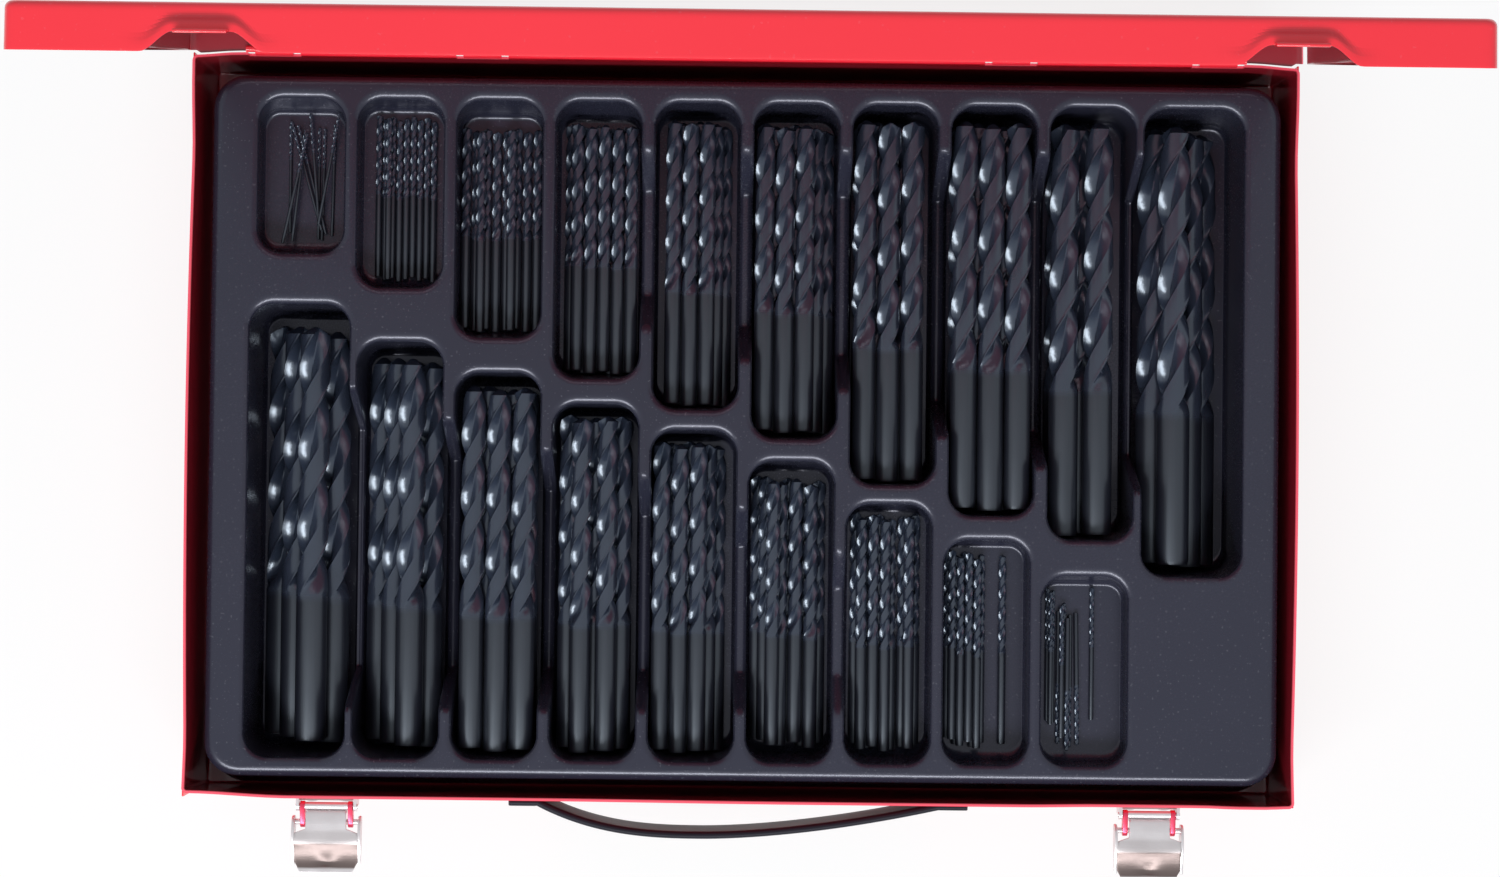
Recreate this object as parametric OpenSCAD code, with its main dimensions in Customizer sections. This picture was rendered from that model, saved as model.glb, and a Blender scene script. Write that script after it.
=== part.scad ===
// Drill bit case: a sheet steel base and lid on a rolled wire hinge, two draw latches,
// a strap handle, a formed plastic tray and a graded set of twist drills.
// Millimetres. The origin is at the centre of the base's underside, +Z up, the hinge at +Y
// and the latches at -Y. The lid stands open and the latches hang open.

/* [Case] */
// Width of the base over its side walls
base_w = 330; // [325:1:360]
// Depth of the base from front wall to back wall
base_d = 222; // [220:1:250]
// Height of the base up to the parting line
base_h = 38; // [37:0.5:50]
// Thickness of the steel sheet
sheet = 0.9; // [0.7:0.1:1.1]
// Radius of the upright corners of the base
corner_r = 1.6; // [1.2:0.1:3]
// Depth of the lid from its top to its rim
lid_depth = 11; // [10:0.2:16]
// How far the lid's rim reaches down past the parting line
lid_overlap = 0.6; // [0.2:0.1:1]
// Clearance between the lid's and the base's front walls
lid_clearance = 0.35; // [0.3:0.05:0.6]
// Clearance between the lid's and the base's side walls
side_clearance = 1.3; // [0.4:0.1:1.6]
// Angle by which the lid stands open
lid_open = 81.2; // [0:0.2:100]

/* [Hinge] */
// Radius of the hinge wire
wire_r = 1; // [0.8:0.05:1.2]
// Running clearance round the wire
wire_clearance = 0.05; // [0.03:0.01:0.08]
// Half the length of the hinge wire
wire_reach = 149.5; // [148:0.5:152]
// Length of each lid knuckle
knuckle_len = 11.3; // [8:0.1:12]
// Bare wire on each side of a lid knuckle
knuckle_gap = 2.2; // [1.5:0.1:3]
// Distance of the inner lid knuckles from the middle
knuckle_x1 = 79; // [70:1:90]
// Distance of the outer lid knuckles from the middle
knuckle_x2 = 141; // [130:1:141]
// Room between a roll and the sheet that passes it
roll_room = 0.35; // [0.3:0.05:0.6]

/* [Latches] */
// Distance of each latch from the side wall
latch_inset = 42.5; // [35:0.5:60]
// Width of the hasp over its flanges
hasp_w = 20.6; // [20:0.2:24]
// Length of the hasp from its pin to its finger lip
hasp_len = 15.5; // [14:0.5:20]
// Thickness of the latch sheet
latch_sheet = 0.9; // [0.8:0.05:1]
// Distance of the link pin from the front wall
link_pin_out = 2.4; // [2.2:0.1:2.8]
// Depth of the link pin below the parting line
link_pin_down = 2.4; // [2.2:0.1:2.8]
// Distance between the link pin and the hasp pin, outwards
link_run = 4.8; // [4.6:0.1:5.2]
// Drop from the link pin to the hasp pin, with the latch open
link_drop = 1; // [0.8:0.1:1.2]
// Radius of both latch pins
latch_pin_r = 0.7; // [0.6:0.05:0.75]
// Running clearance round both latch pins
pin_clearance = 0.05; // [0.03:0.01:0.08]
// Thickness of each link arm
arm_t = 1.2; // [1:0.1:1.3]
// Distance from the middle of the latch to a link arm's inner face
arm_x = 6.6; // [6.4:0.1:6.8]
// How far the hasp's nose reaches back past its pin
nose_len = 3.3; // [3.2:0.1:3.6]
// Height of the hasp's sheet over its pin
hasp_rise = 1.9; // [1.8:0.1:2.1]
// Width of the latch notch at the lid's rim
notch_w = 27; // [25:0.5:32]
// Width of the latch notch at its top
notch_top_w = 15; // [13:0.5:17]
// Height of the latch notch
notch_h = 4.5; // [4.3:0.1:5]
// Width of the catch lip on the lid
lip_w = 12; // [10:0.5:12.4]

/* [Handle] */
// Height of the handle strap
strap_h = 20; // [14:1:24]
// Thickness of the handle strap
strap_t = 2.3; // [2:0.1:3]
// Distance from the middle of the strap to each end
strap_reach = 69; // [66:1:74]
// How far the strap's crest stands off the wall
strap_rise = 12; // [9:0.5:18]
// Place of the crest along the strap
crest_x = -11; // [-20:1:20]
// Distance of each strap stud from the middle
stud_x = 63.5; // [60:0.5:65]
// Height of the strap's middle over the floor
strap_z = 19; // [14:1:24]
// Radius of the stud's shank
stud_r = 1.8; // [1.4:0.1:2.2]

/* [Tray] */
// Thickness of the formed tray sheet
tray_sheet = 1; // [0.8:0.1:1.2]
// Gap between the tray and the side walls
tray_gap_x = 4.5; // [3:0.5:5]
// Gap between the tray and the front and back walls
tray_gap_y = 6; // [5:0.5:6]
// Distance of the tray's top below the parting line
tray_drop = 3.5; // [3:0.1:4]
// Web between two pockets of the back row
pocket_web = 4.1; // [3.5:0.1:4.3]
// Extra width of the pockets for the two thickest drills
wide_extra = 4.4; // [4.2:0.1:4.8]
// Corner radius of a pocket
pocket_r = 4; // [3:0.5:6]
// Margin at each end of the back row, whose ten pockets share the rest of the tray's width
back_side = 12; // [9:0.5:12.5]
// Margin at each end of the front row, which is spaced as for ten pockets
front_side = 13.5; // [11:0.5:14]
// Distance from the tray's back edge to the back row
back_margin = 6; // [5:0.5:7]
// Distance from the tray's front edge to the front row
front_margin = 5.2; // [4.5:0.1:6]
// Solid stretch left at each end of a lowered divider
saddle_inset = 15.5; // [12:0.5:20]
// Length of the slope at each end of a lowered divider
saddle_slope = 11; // [6:0.5:12]
// Height of a lowered divider over the shallower pocket floor
saddle_rise = 5; // [3:0.5:8]

/* [Drills] */
// Clearance between drills that lie on each other
drill_gap = 0.1; // [0.06:0.01:0.2]
// Point angle of the drills
point_angle = 118; // [90:1:140]
// How much thinner a shank is than its drill
shank_relief = 0.1; // [0.05:0.01:0.2]

/* [Hidden] */
$fn = 32;

red = [0.85, 0.07, 0.1];
nickel = [0.78, 0.76, 0.76];
tray_grey = [0.2, 0.2, 0.24];
strap_black = [0.12, 0.12, 0.13];
oxide = [0.22, 0.24, 0.26];
bright = [0.8, 0.8, 0.82];

// Case
front_y = -base_d / 2;
back_y = base_d / 2;
roll_bore = wire_r + wire_clearance;
roll_r = roll_bore + sheet;
hinge_y = back_y + roll_bore;
hinge_z = base_h;
lid_rim_z = base_h - lid_overlap;
lid_top_z = lid_rim_z + lid_depth;
lid_side = base_w / 2 + side_clearance + sheet;
lid_front = front_y - lid_clearance - sheet;
lid_back = hinge_y + roll_r;
knuckles = [-knuckle_x2, -knuckle_x1, knuckle_x1, knuckle_x2];

// Latches, in each latch's own frame: X across it, +Y out from the front wall
latch_x = base_w / 2 - latch_inset;
link_pin = [link_pin_out, -link_pin_down];
hasp_pin = [link_pin_out + link_run, -link_pin_down - link_drop];
pin_bore = latch_pin_r + pin_clearance;
link_r = 1.5;
barrel_r = 1.2;
flange_in = hasp_w / 2 - latch_sheet;
ear_out = flange_in - 0.4;
ear_in = ear_out - latch_sheet;
nose_w = 2 * (arm_x - 0.6);
bracket_down = 13;
rivet_r = 1.2;
rivet_head_r = 2.1;
rivet_head_h = 0.9;
rivet_x = 5.2;
rivet_down = 8.6;
catch_z = notch_h - lid_overlap - 0.3;
catch_reach = link_pin_out + link_drop + hasp_rise - 0.4;

// Handle
strap_standoff = 0.4;
stud_head_r = 3.4;
stud_head_h = 1;
stud_fit = 0.1;
bow_x = stud_x - stud_head_r - 2 * stud_fit;

// Tray
tray_w = base_w - 2 * tray_gap_x;
tray_d = base_d - 2 * tray_gap_y;
tray_top = base_h - tray_drop;
tray_foot = sheet + 0.1;
tray_r = 10;
tray_shift = 0.6;
back_row_y = tray_d / 2 - back_margin;
front_row_y = -tray_d / 2 + front_margin;
back_pitch = (tray_w - 2 * back_side) / 10;
front_pitch = (tray_w - 2 * front_side) / 10;
pocket_w = back_pitch - pocket_web;
wide_pocket_w = pocket_w + wide_extra;
back_row_x = tray_shift - 4.5 * back_pitch - 0.15;
front_row_x = tray_shift - 4.5 * front_pitch - 0.5;

// The set fills its case: diameters follow the width of a pocket, lengths the depth of the
// tray, and the depths of the pockets the height between the base's floor and the tray's top
across = round(10000 * pocket_w / 25.6) / 10000;
along = round(10000 * tray_d / 210) / 10000;
down = round(10000 * (tray_top - tray_sheet - tray_foot) / 32.5) / 10000;
function fitted(row) = [
    row[0] * across, row[1] * along, row[2] * along, row[3] * along, row[4] * along,
    row[5] * down, row[6] * across, row[7] * across
];

// One row for each drill size: diameter, overall length, flute length, free length of its
// pocket, space before the points, pocket depth, shift of the pile, half pitch of the pile
back_sizes = [
    [1, 34, 12, 14, 6.5, 10, 0, 0.55],
    [2, 49, 24, 9, 4.5, 11, 0.9, 1.04],
    [3, 61, 33, 11.5, 7.6, 14, 0, 1.55],
    [4, 75, 43, 9.5, 6, 17, -0.5, 2.05],
    [5, 86, 52, 7.5, 4.5, 22, 0.5, 2.55],
    [6, 93, 57, 9, 5, 24, 0, 3.05],
    [7, 109, 69, 6.4, 3.8, 32.5, -1.2, 3.6],
    [8, 117, 75, 7.4, 4, 32.5, 0, 4.06],
    [9, 125, 81, 6.4, 3.6, 30, -2.1, 5.2],
    [10, 133, 87, 9, 4, 32.5, 0.65, 5.15]
];
front_sizes = [
    [9.5, 125, 81, 12, 6, 32.5, -2.4, 5.7],
    [8.5, 117, 75, 9, 4.5, 30, -2.4, 5.2],
    [7.5, 109, 69, 8, 4, 32.5, 0, 3.82],
    [6.5, 101, 63, 7, 3.4, 30, -0.5, 3.9],
    [5.5, 93, 57, 7.5, 3.6, 24, -1.2, 2.8],
    [4.5, 80, 47, 11.5, 5, 21, -0.5, 2.32],
    [3.5, 70, 39, 9, 3.2, 15, -0.5, 1.8],
    [2.5, 57, 30, 11.5, 3.6, 12, 0.5, 1.28],
    [1.5, 40, 18, 18, 4.6, 10, 0, 0.8]
];
back_row = [for (row = back_sizes) fitted(row)];
front_row = [for (row = front_sizes) fitted(row)];

// Piles, seen from the shanks' end: [column in half pitches, layer] for each drill
trio_left = [[-1, 0], [1, 0], [-2, 1], [0, 1], [-1, 2]];
trio_right = [[-1, 0], [1, 0], [0, 1], [2, 1], [1, 2]];
pair_on_top = [[-1, 0], [1, 0], [0, 1], [-1, 2], [1, 2]];
three_on_top = [[-1, 0], [1, 0], [-2, 1], [0, 1], [2, 1], [-1, 2], [1, 2], [-2, 3], [0, 3], [2, 3]];
two_on_top = [[-2, 0], [0, 0], [2, 0], [-1, 1], [1, 1], [-2, 2], [0, 2], [2, 2], [-1, 3], [1, 3]];
four_wide = [[-3, 0], [-1, 0], [1, 0], [3, 0], [-2, 1], [0, 1], [2, 1], [-3, 2], [-1, 2], [1, 2]];
five_wide = [[-4, 0], [-2, 0], [0, 0], [2, 0], [4, 0], [-3, 1], [-1, 1], [1, 1], [3, 1], [5, 1]];
five_under_two = [[-4, 0], [-2, 0], [0, 0], [2, 0], [4, 0], [-3, 1], [-1, 1], [1, 1], [3, 1], [-2, 2]];
six_wide = [[-5, 0], [-3, 0], [-1, 0], [1, 0], [3, 0], [5, 0], [-4, 1], [-2, 1], [0, 1], [4, 1]];
eight_wide = [for (i = [0:7]) [2 * i - 7, 0], [-4, 1], [2, 1]];
nine_wide = [for (i = [0:8]) [2 * i - 8, 0], [-5, 1]];
one_apart = [for (i = [0:4]) [2 * i - 9, 0], for (i = [0:3]) [2 * i - 8, 1], [4, 0]];

// Loose needles: [place across, slip along, turn in plan, layer, 1 where the point is in front]
needles_1_0 = [
    [-4.4, 0, 0, 0, 0], [4.2, -2, 0, 0, 0], [5.6, -2.4, -1, 0, 0], [8.6, -1, -1, 0, 0],
    [0.6, 0, 16, 1, 0], [2.2, -1, 15, 1, 0], [-1.6, -3, -6, 2, 0], [3.2, 2, 5, 2, 0],
    [7.6, 2, -10, 3, 0], [-2.6, -4, -12, 3, 0]
];
needles_1_5 = [
    [-10.2, 0, 0, 0, 0], [-8.6, -0.6, 0, 0, 0], [-6.9, -7, 0, 0, 1], [-5.2, -4.4, 0, 0, 0],
    [-3.4, -8, 0, 0, 1], [-1.3, -7.4, 1, 0, 1], [3.2, 0.4, 0, 0, 0],
    [-9.4, -1, 0, 1, 0], [-6.05, -5, 0, 1, 0], [-4.3, -9, 0, 1, 1]
];

function row_len(row) = row[1] + row[3];
function back_x(i) = back_row_x + i * back_pitch;
function front_x(i) = front_row_x + i * front_pitch;
function is_wide(row) = row[0] > 9.2 * across;
function row_w(row) = is_wide(row) ? wide_pocket_w : pocket_w;
function side_shift(row) = is_wide(row) ? 0.8 * across : 0;

// Outline of a rectangle with round corners
module round_outline(w, d, r) {
    square([w - 2 * r, d], center = true);
    square([w, d - 2 * r], center = true);
    for (x = [-1, 1], y = [-1, 1])
        translate([x * (w / 2 - r), y * (d / 2 - r)]) circle(r = r);
}

module round_slab(w, d, h, r) {
    linear_extrude(height = h) round_outline(w, d, r);
}

// Rod along X, centred
module rod_x(len, r) {
    rotate([0, 90, 0]) cylinder(h = len, r = r, center = true);
}

// Disc or hole along Y, from y = 0 outwards to -Y
module peg_out(len, r) {
    rotate([90, 0, 0]) cylinder(h = len, r = r);
}

// --- Base ---

module roll(x0, x1) {
    translate([(x0 + x1) / 2, hinge_y, hinge_z]) difference() {
        rod_x(x1 - x0, roll_r);
        rod_x(x1 - x0 + 2, roll_bore);
    }
}

module base_rolls() {
    half = knuckle_len / 2 + knuckle_gap;
    roll(-knuckle_x2 + half, -knuckle_x1 - half);
    roll(-knuckle_x1 + half, knuckle_x1 - half);
    roll(knuckle_x1 + half, knuckle_x2 - half);
}

module base_pan() {
    color(red) {
        difference() {
            round_slab(base_w, base_d, base_h, corner_r);
            translate([0, 0, sheet])
                round_slab(base_w - 2 * sheet, base_d - 2 * sheet, base_h, corner_r - sheet);
            for (x = knuckles)
                translate([x - knuckle_len / 2 - knuckle_gap, back_y - 2 * sheet, base_h - roll_r - roll_room])
                    cube([knuckle_len + 2 * knuckle_gap, 3 * sheet, base_h]);
            for (side = [-1, 1]) {
                translate([side * stud_x, front_y + 2 * sheet, strap_z]) peg_out(3 * sheet, stud_r + stud_fit);
                for (x = [-rivet_x, rivet_x])
                    translate([side * latch_x + x, front_y + 2 * sheet, base_h - rivet_down])
                        peg_out(3 * sheet, rivet_r + stud_fit);
            }
        }
        base_rolls();
    }
}

module hinge_wire() {
    color(bright) translate([0, hinge_y, hinge_z]) rod_x(2 * wire_reach, wire_r);
}

// --- Lid, drawn closed and then swung open about the wire ---

module latch_notch() {
    translate([0, lid_front + 2 * sheet, lid_rim_z]) rotate([90, 0, 0])
        linear_extrude(height = 4 * sheet)
            polygon([
                [-notch_w / 2, -1], [notch_w / 2, -1], [notch_w / 2, 0],
                [notch_top_w / 2, notch_h], [-notch_top_w / 2, notch_h], [-notch_w / 2, 0]
            ]);
}

module lid_closed() {
    mid_y = (lid_front + lid_back) / 2;
    lid_w = 2 * lid_side;
    lid_d = lid_back - lid_front;
    difference() {
        translate([0, mid_y, lid_rim_z]) difference() {
            round_slab(lid_w, lid_d, lid_depth, corner_r + sheet);
            translate([0, 0, -sheet])
                round_slab(lid_w - 2 * sheet, lid_d - 2 * sheet, lid_depth, corner_r);
        }
        for (side = [-1, 1]) translate([side * latch_x, 0, 0]) latch_notch();
        edge = hinge_z + roll_r + roll_room;
        translate([-lid_side + 2 * sheet, lid_back - 2 * sheet, lid_rim_z - 1])
            cube([lid_w - 4 * sheet, 3 * sheet, edge - lid_rim_z + 1]);
    }
    for (x = knuckles) {
        roll(x - knuckle_len / 2, x + knuckle_len / 2);
        translate([x - knuckle_len / 2, lid_back - sheet, hinge_z])
            cube([knuckle_len, sheet, lid_depth / 2]);
    }
    for (side = [-1, 1])
        translate([side * latch_x - lip_w / 2, front_y - catch_reach, base_h + catch_z])
            cube([lip_w, catch_reach - lid_clearance, sheet]);
}

module lid_pan() {
    color(red)
        translate([0, hinge_y, hinge_z]) rotate([-lid_open, 0, 0]) translate([0, -hinge_y, -hinge_z])
            lid_closed();
}

// --- Latch: bracket and pin on the wall, link on that pin, hasp on the link's pin ---

module at_latch(side) {
    translate([side * latch_x, front_y, base_h]) children();
}

// Shape given in the plane of the latch's swing: [out from the wall, up], spread along X
module side_plate(points, x0, x1) {
    translate([x1, 0, 0]) rotate([90, 0, -90]) linear_extrude(height = x1 - x0) polygon(points);
}

module pin_at(place, len, r) {
    translate([0, -place[0], place[1]]) rod_x(len, r);
}

module latch_bracket(side) {
    plate_top = link_pin[1] - barrel_r - 0.6;
    color(nickel) at_latch(side) difference() {
        union() {
            translate([-ear_out, -latch_sheet, -bracket_down])
                cube([2 * ear_out, latch_sheet, bracket_down + plate_top]);
            for (x = [-ear_out, ear_in]) {
                translate([x, -link_pin[0], link_pin[1] - 5])
                    cube([latch_sheet, link_pin[0], 5 + link_r]);
                translate([x + latch_sheet / 2, -link_pin[0], link_pin[1]]) rod_x(latch_sheet, link_r);
            }
        }
        pin_at(link_pin, hasp_w, pin_bore);
        for (x = [-rivet_x, rivet_x])
            translate([x, 1, -rivet_down]) peg_out(4, rivet_r + stud_fit);
    }
}

module latch_rivets(side) {
    color(nickel) at_latch(side) for (x = [-rivet_x, rivet_x]) translate([x, 0, -rivet_down]) {
        translate([0, sheet, 0]) peg_out(sheet + latch_sheet, rivet_r);
        translate([0, -latch_sheet, 0]) peg_out(rivet_head_h, rivet_head_r);
        translate([0, sheet + rivet_head_h, 0]) peg_out(rivet_head_h, rivet_head_r);
    }
}

module latch_link_pin(side) {
    color(bright) at_latch(side) pin_at(link_pin, 2 * (ear_out + 0.2), latch_pin_r);
}

module link_arm() {
    run = norm(hasp_pin - link_pin);
    tilt = atan2(hasp_pin[1] - link_pin[1], hasp_pin[0] - link_pin[0]);
    translate([0, -link_pin[0], link_pin[1]]) {
        rod_x(arm_t, link_r);
        rotate([-tilt, 0, 0]) translate([0, -run / 2, 0]) cube([arm_t, run, 1.8 * link_r], center = true);
    }
    translate([0, -hasp_pin[0], hasp_pin[1]]) rod_x(arm_t, link_r);
}

module latch_link(side) {
    color(nickel) at_latch(side) difference() {
        union() {
            for (x = [-1, 1]) translate([x * (arm_x + arm_t / 2), 0, 0]) link_arm();
            pin_at(link_pin, 2 * arm_x + 0.2, barrel_r);
        }
        pin_at(link_pin, hasp_w, pin_bore);
        pin_at(hasp_pin, hasp_w, pin_bore);
    }
}

// Side view of the hasp's sheet: flat by the pin, a sloping thumb panel, then a finger lip
module hasp_sheet() {
    t = latch_sheet;
    bend = 6.5;
    foot = hasp_len - 2;
    low = hasp_rise - 1.6;
    side_plate([
        [2, hasp_rise], [bend, hasp_rise], [foot, low], [hasp_len, low + 1.2],
        [hasp_len, low + 1.2 + t], [foot, low + t], [bend, hasp_rise + t], [2, hasp_rise + t]
    ], -hasp_w / 2, hasp_w / 2);
}

module hasp_nose() {
    t = latch_sheet;
    side_plate([
        [-nose_len, -0.1], [t - nose_len, -0.1], [t - nose_len, hasp_rise], [2.2, hasp_rise],
        [2.2, hasp_rise + t], [-nose_len, hasp_rise + t]
    ], -nose_w / 2, nose_w / 2);
}

module hasp_flange(x) {
    side_plate([
        [-1.8, -1.8], [3, -1.8], [11, -0.6], [hasp_len - 2, 0.3], [hasp_len - 2, 0.8], [6.5, hasp_rise + 0.5],
        [-1.8, hasp_rise + 0.5]
    ], x, x + latch_sheet);
}

module latch_hasp(side) {
    color(nickel) at_latch(side) translate([0, -hasp_pin[0], hasp_pin[1]]) difference() {
        union() {
            hasp_sheet();
            hasp_nose();
            hasp_flange(-hasp_w / 2);
            hasp_flange(flange_in);
        }
        rod_x(hasp_w + 2, pin_bore);
        for (x = [-1, 1]) translate([x * hasp_w / 2, -hasp_len, 0])
            rotate([0, 0, x * 30]) cube([4.2, 9, 12], center = true);
    }
}

module latch_hasp_pin(side) {
    color(bright) at_latch(side) {
        pin_at(hasp_pin, hasp_w, latch_pin_r);
        for (x = [-1, 1]) translate([x * (hasp_w / 2 + 0.3), 0, 0]) pin_at(hasp_pin, 0.6, 1.3);
    }
}

// --- Handle ---

// How far the strap's inner face stands off the wall at x
function strap_off(x) = strap_standoff + (strap_rise - strap_t - strap_standoff) * strap_bow(x);
function strap_bow(x) =
    x < crest_x ? 1 - pow(1 - max(0, (x + bow_x) / (crest_x + bow_x)), 2.7)
                : 1 - pow(1 - max(0, (bow_x - x) / (bow_x - crest_x)), 1.7);

module handle_strap() {
    steps = 46;
    xs = [for (i = [0:steps]) strap_reach * (2 * i / steps - 1)];
    inner = [for (x = xs) [x, -strap_off(x)]];
    outer = [for (i = [steps:-1:0]) [xs[i], -strap_off(xs[i]) - strap_t]];
    color(strap_black) translate([0, front_y, strap_z - strap_h / 2]) difference() {
        linear_extrude(height = strap_h) polygon(concat(inner, outer));
        for (side = [-1, 1]) translate([side * stud_x, 0, strap_h / 2]) {
            peg_out(4 * strap_t, stud_r + 2 * stud_fit);
            translate([0, stud_head_h + 2 * stud_fit - strap_t - strap_standoff, 0])
                peg_out(4 * strap_t, stud_head_r + 2 * stud_fit);
        }
    }
}

module handle_studs() {
    head_y = -strap_standoff - strap_t + stud_head_h + stud_fit;
    color(bright) for (side = [-1, 1]) translate([side * stud_x, front_y, strap_z]) {
        translate([0, sheet, 0]) peg_out(sheet - head_y, stud_r);
        translate([0, head_y, 0]) peg_out(stud_head_h, stud_head_r);
        translate([0, sheet + stud_head_h, 0]) peg_out(stud_head_h, stud_head_r);
    }
}

// --- Tray ---

// Each pocket: [x, back edge, row of its drill]
pockets = concat(
    [for (i = [0:9]) [back_x(i) + side_shift(back_row[i]), back_row_y, back_row[i]]],
    [for (i = [0:8]) [front_x(i) - side_shift(front_row[i]), front_row_y + row_len(front_row[i]), front_row[i]]]
);

function pocket_floor(p) = tray_top - p[2][5];

module pocket_block(p, grow) {
    len = row_len(p[2]);
    translate([p[0], p[1] - len / 2, pocket_floor(p) - grow])
        translate([-row_w(p[2]) / 2 - grow, -len / 2 - grow, 0])
            cube([row_w(p[2]) + 2 * grow, len + 2 * grow, p[2][5] + grow - tray_sheet / 2]);
}

module pocket_hollow(p) {
    len = row_len(p[2]);
    translate([p[0], p[1] - len / 2, pocket_floor(p)])
        round_slab(row_w(p[2]), len, p[2][5] + 1, pocket_r);
}

// Lowered divider between two neighbouring pockets, open from above
module saddle(p, q, drop, top) {
    y1 = min(p[1], q[1]) - saddle_inset;
    y0 = max(p[1] - row_len(p[2]), q[1] - row_len(q[2])) + saddle_inset;
    z = max(pocket_floor(p), pocket_floor(q)) + saddle_rise - drop;
    x0 = p[0] + row_w(p[2]) / 2 - 1;
    x1 = q[0] - row_w(q[2]) / 2 + 1;
    translate([x0, 0, 0]) rotate([90, 0, 90]) linear_extrude(height = x1 - x0)
        polygon([[y0, top], [y0 + saddle_slope, z], [y1 - saddle_slope, z], [y1, top]]);
}

module saddles(drop, top) {
    for (i = [3:8]) saddle(pockets[i], pockets[i + 1], drop, top);
    for (i = [10:15]) saddle(pockets[i], pockets[i + 1], drop, top);
}

module tray() {
    color(tray_grey) difference() {
        union() {
            translate([tray_shift, 0, tray_foot]) difference() {
                round_slab(tray_w, tray_d, tray_top - tray_foot, tray_r);
                translate([0, 0, -tray_sheet])
                    round_slab(tray_w - 2 * tray_sheet, tray_d - 2 * tray_sheet,
                               tray_top - tray_foot, tray_r - tray_sheet);
            }
            for (p = pockets) pocket_block(p, tray_sheet);
            saddles(tray_sheet, tray_top - tray_sheet / 2);
        }
        for (p = pockets) pocket_hollow(p);
        saddles(0, tray_top + 1);
    }
}

// --- Drills ---

// One drill with its point at the origin, pointing to +Y
module drill(row) {
    r = row[0] / 2;
    shank = r - shank_relief / 2;
    web = 0.15 * r;
    tip = (r - web) / tan(point_angle / 2);
    rotate([90, 0, 0]) rotate_extrude($fn = 20)
        polygon([
            [0, 0], [web, 0], [r, tip], [r, row[2]], [shank, row[2] + 0.1], [shank, row[1]], [0, row[1]]
        ]);
}

// Height of one layer over the one below it, for drills that nest between the lower ones
function layer_rise(row) = sqrt(pow(row[0] + drill_gap, 2) - pow(row[7], 2));
// Small differences in how far each drill has slid along its pocket
function slip(i, room) = 0.4 * room * (i * 0.618 - floor(i * 0.618));

module pile(p, places) {
    row = p[2];
    room = row[3] - row[4];
    color(oxide) for (i = [0:len(places) - 1])
        translate([
            p[0] + row[6] + places[i][0] * row[7],
            p[1] - row[4] - slip(i, room),
            pocket_floor(p) + drill_gap + row[0] / 2 + places[i][1] * layer_rise(row)
        ]) drill(row);
}

module needles(p, places) {
    row = p[2];
    color(oxide) for (n = places)
        translate([p[0] + n[0] * across, p[1] - row[4] - row[1] / 2 + n[1] * along,
                   pocket_floor(p) + drill_gap + row[0] / 2 + n[3] * (row[0] + drill_gap)])
            rotate([0, 0, n[2] + 180 * n[4]]) translate([0, row[1] / 2, 0]) drill(row);
}

base_pan();
hinge_wire();
handle_strap();
handle_studs();
latch_bracket(-1);  // latch_left_bracket
latch_rivets(-1);  // latch_left_rivets
latch_link_pin(-1);  // latch_left_link_pin
latch_link(-1);  // latch_left_link
latch_hasp(-1);  // latch_left_hasp
latch_hasp_pin(-1);  // latch_left_hasp_pin
latch_bracket(1);  // latch_right_bracket
latch_rivets(1);  // latch_right_rivets
latch_link_pin(1);  // latch_right_link_pin
latch_link(1);  // latch_right_link
latch_hasp(1);  // latch_right_hasp
latch_hasp_pin(1);  // latch_right_hasp_pin
lid_pan();
tray();
needles(pockets[0], needles_1_0);  // drills_1_0
pile(pockets[1], nine_wide);  // drills_2_0
pile(pockets[2], eight_wide);  // drills_3_0
pile(pockets[3], five_wide);  // drills_4_0
pile(pockets[4], four_wide);  // drills_5_0
pile(pockets[5], four_wide);  // drills_6_0
pile(pockets[6], three_on_top);  // drills_7_0
pile(pockets[7], three_on_top);  // drills_8_0
pile(pockets[8], pair_on_top);  // drills_9_0
pile(pockets[9], trio_left);  // drills_10_0
pile(pockets[10], trio_right);  // drills_9_5
pile(pockets[11], trio_right);  // drills_8_5
pile(pockets[12], three_on_top);  // drills_7_5
pile(pockets[13], two_on_top);  // drills_6_5
pile(pockets[14], four_wide);  // drills_5_5
pile(pockets[15], five_under_two);  // drills_4_5
pile(pockets[16], six_wide);  // drills_3_5
pile(pockets[17], one_apart);  // drills_2_5
needles(pockets[18], needles_1_5);  // drills_1_5
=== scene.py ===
"""An open drill bit case seen from above: steel base and lid, two latches, a strap handle,
a formed tray and nineteen sizes of twist drill."""

import math
from collections import namedtuple

import bmesh
import bpy
from mathutils import Matrix, Vector
from mathutils.geometry import delaunay_2d_cdt


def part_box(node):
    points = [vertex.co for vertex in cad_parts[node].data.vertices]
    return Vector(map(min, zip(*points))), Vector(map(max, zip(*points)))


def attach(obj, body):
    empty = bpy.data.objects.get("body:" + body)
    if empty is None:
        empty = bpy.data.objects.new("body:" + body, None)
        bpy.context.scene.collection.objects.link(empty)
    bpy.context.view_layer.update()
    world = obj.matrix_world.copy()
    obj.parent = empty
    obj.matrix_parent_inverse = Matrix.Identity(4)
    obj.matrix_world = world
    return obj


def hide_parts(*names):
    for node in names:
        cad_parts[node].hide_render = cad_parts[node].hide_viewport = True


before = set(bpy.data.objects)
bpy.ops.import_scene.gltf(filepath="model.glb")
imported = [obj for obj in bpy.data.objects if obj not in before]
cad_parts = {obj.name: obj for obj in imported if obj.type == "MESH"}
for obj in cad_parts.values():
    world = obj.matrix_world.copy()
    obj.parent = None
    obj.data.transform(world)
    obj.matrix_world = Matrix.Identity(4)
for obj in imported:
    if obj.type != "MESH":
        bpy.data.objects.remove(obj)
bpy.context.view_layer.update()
MM = 0.001
SIDES = ((-1, "left"), (1, "right"))


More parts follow.
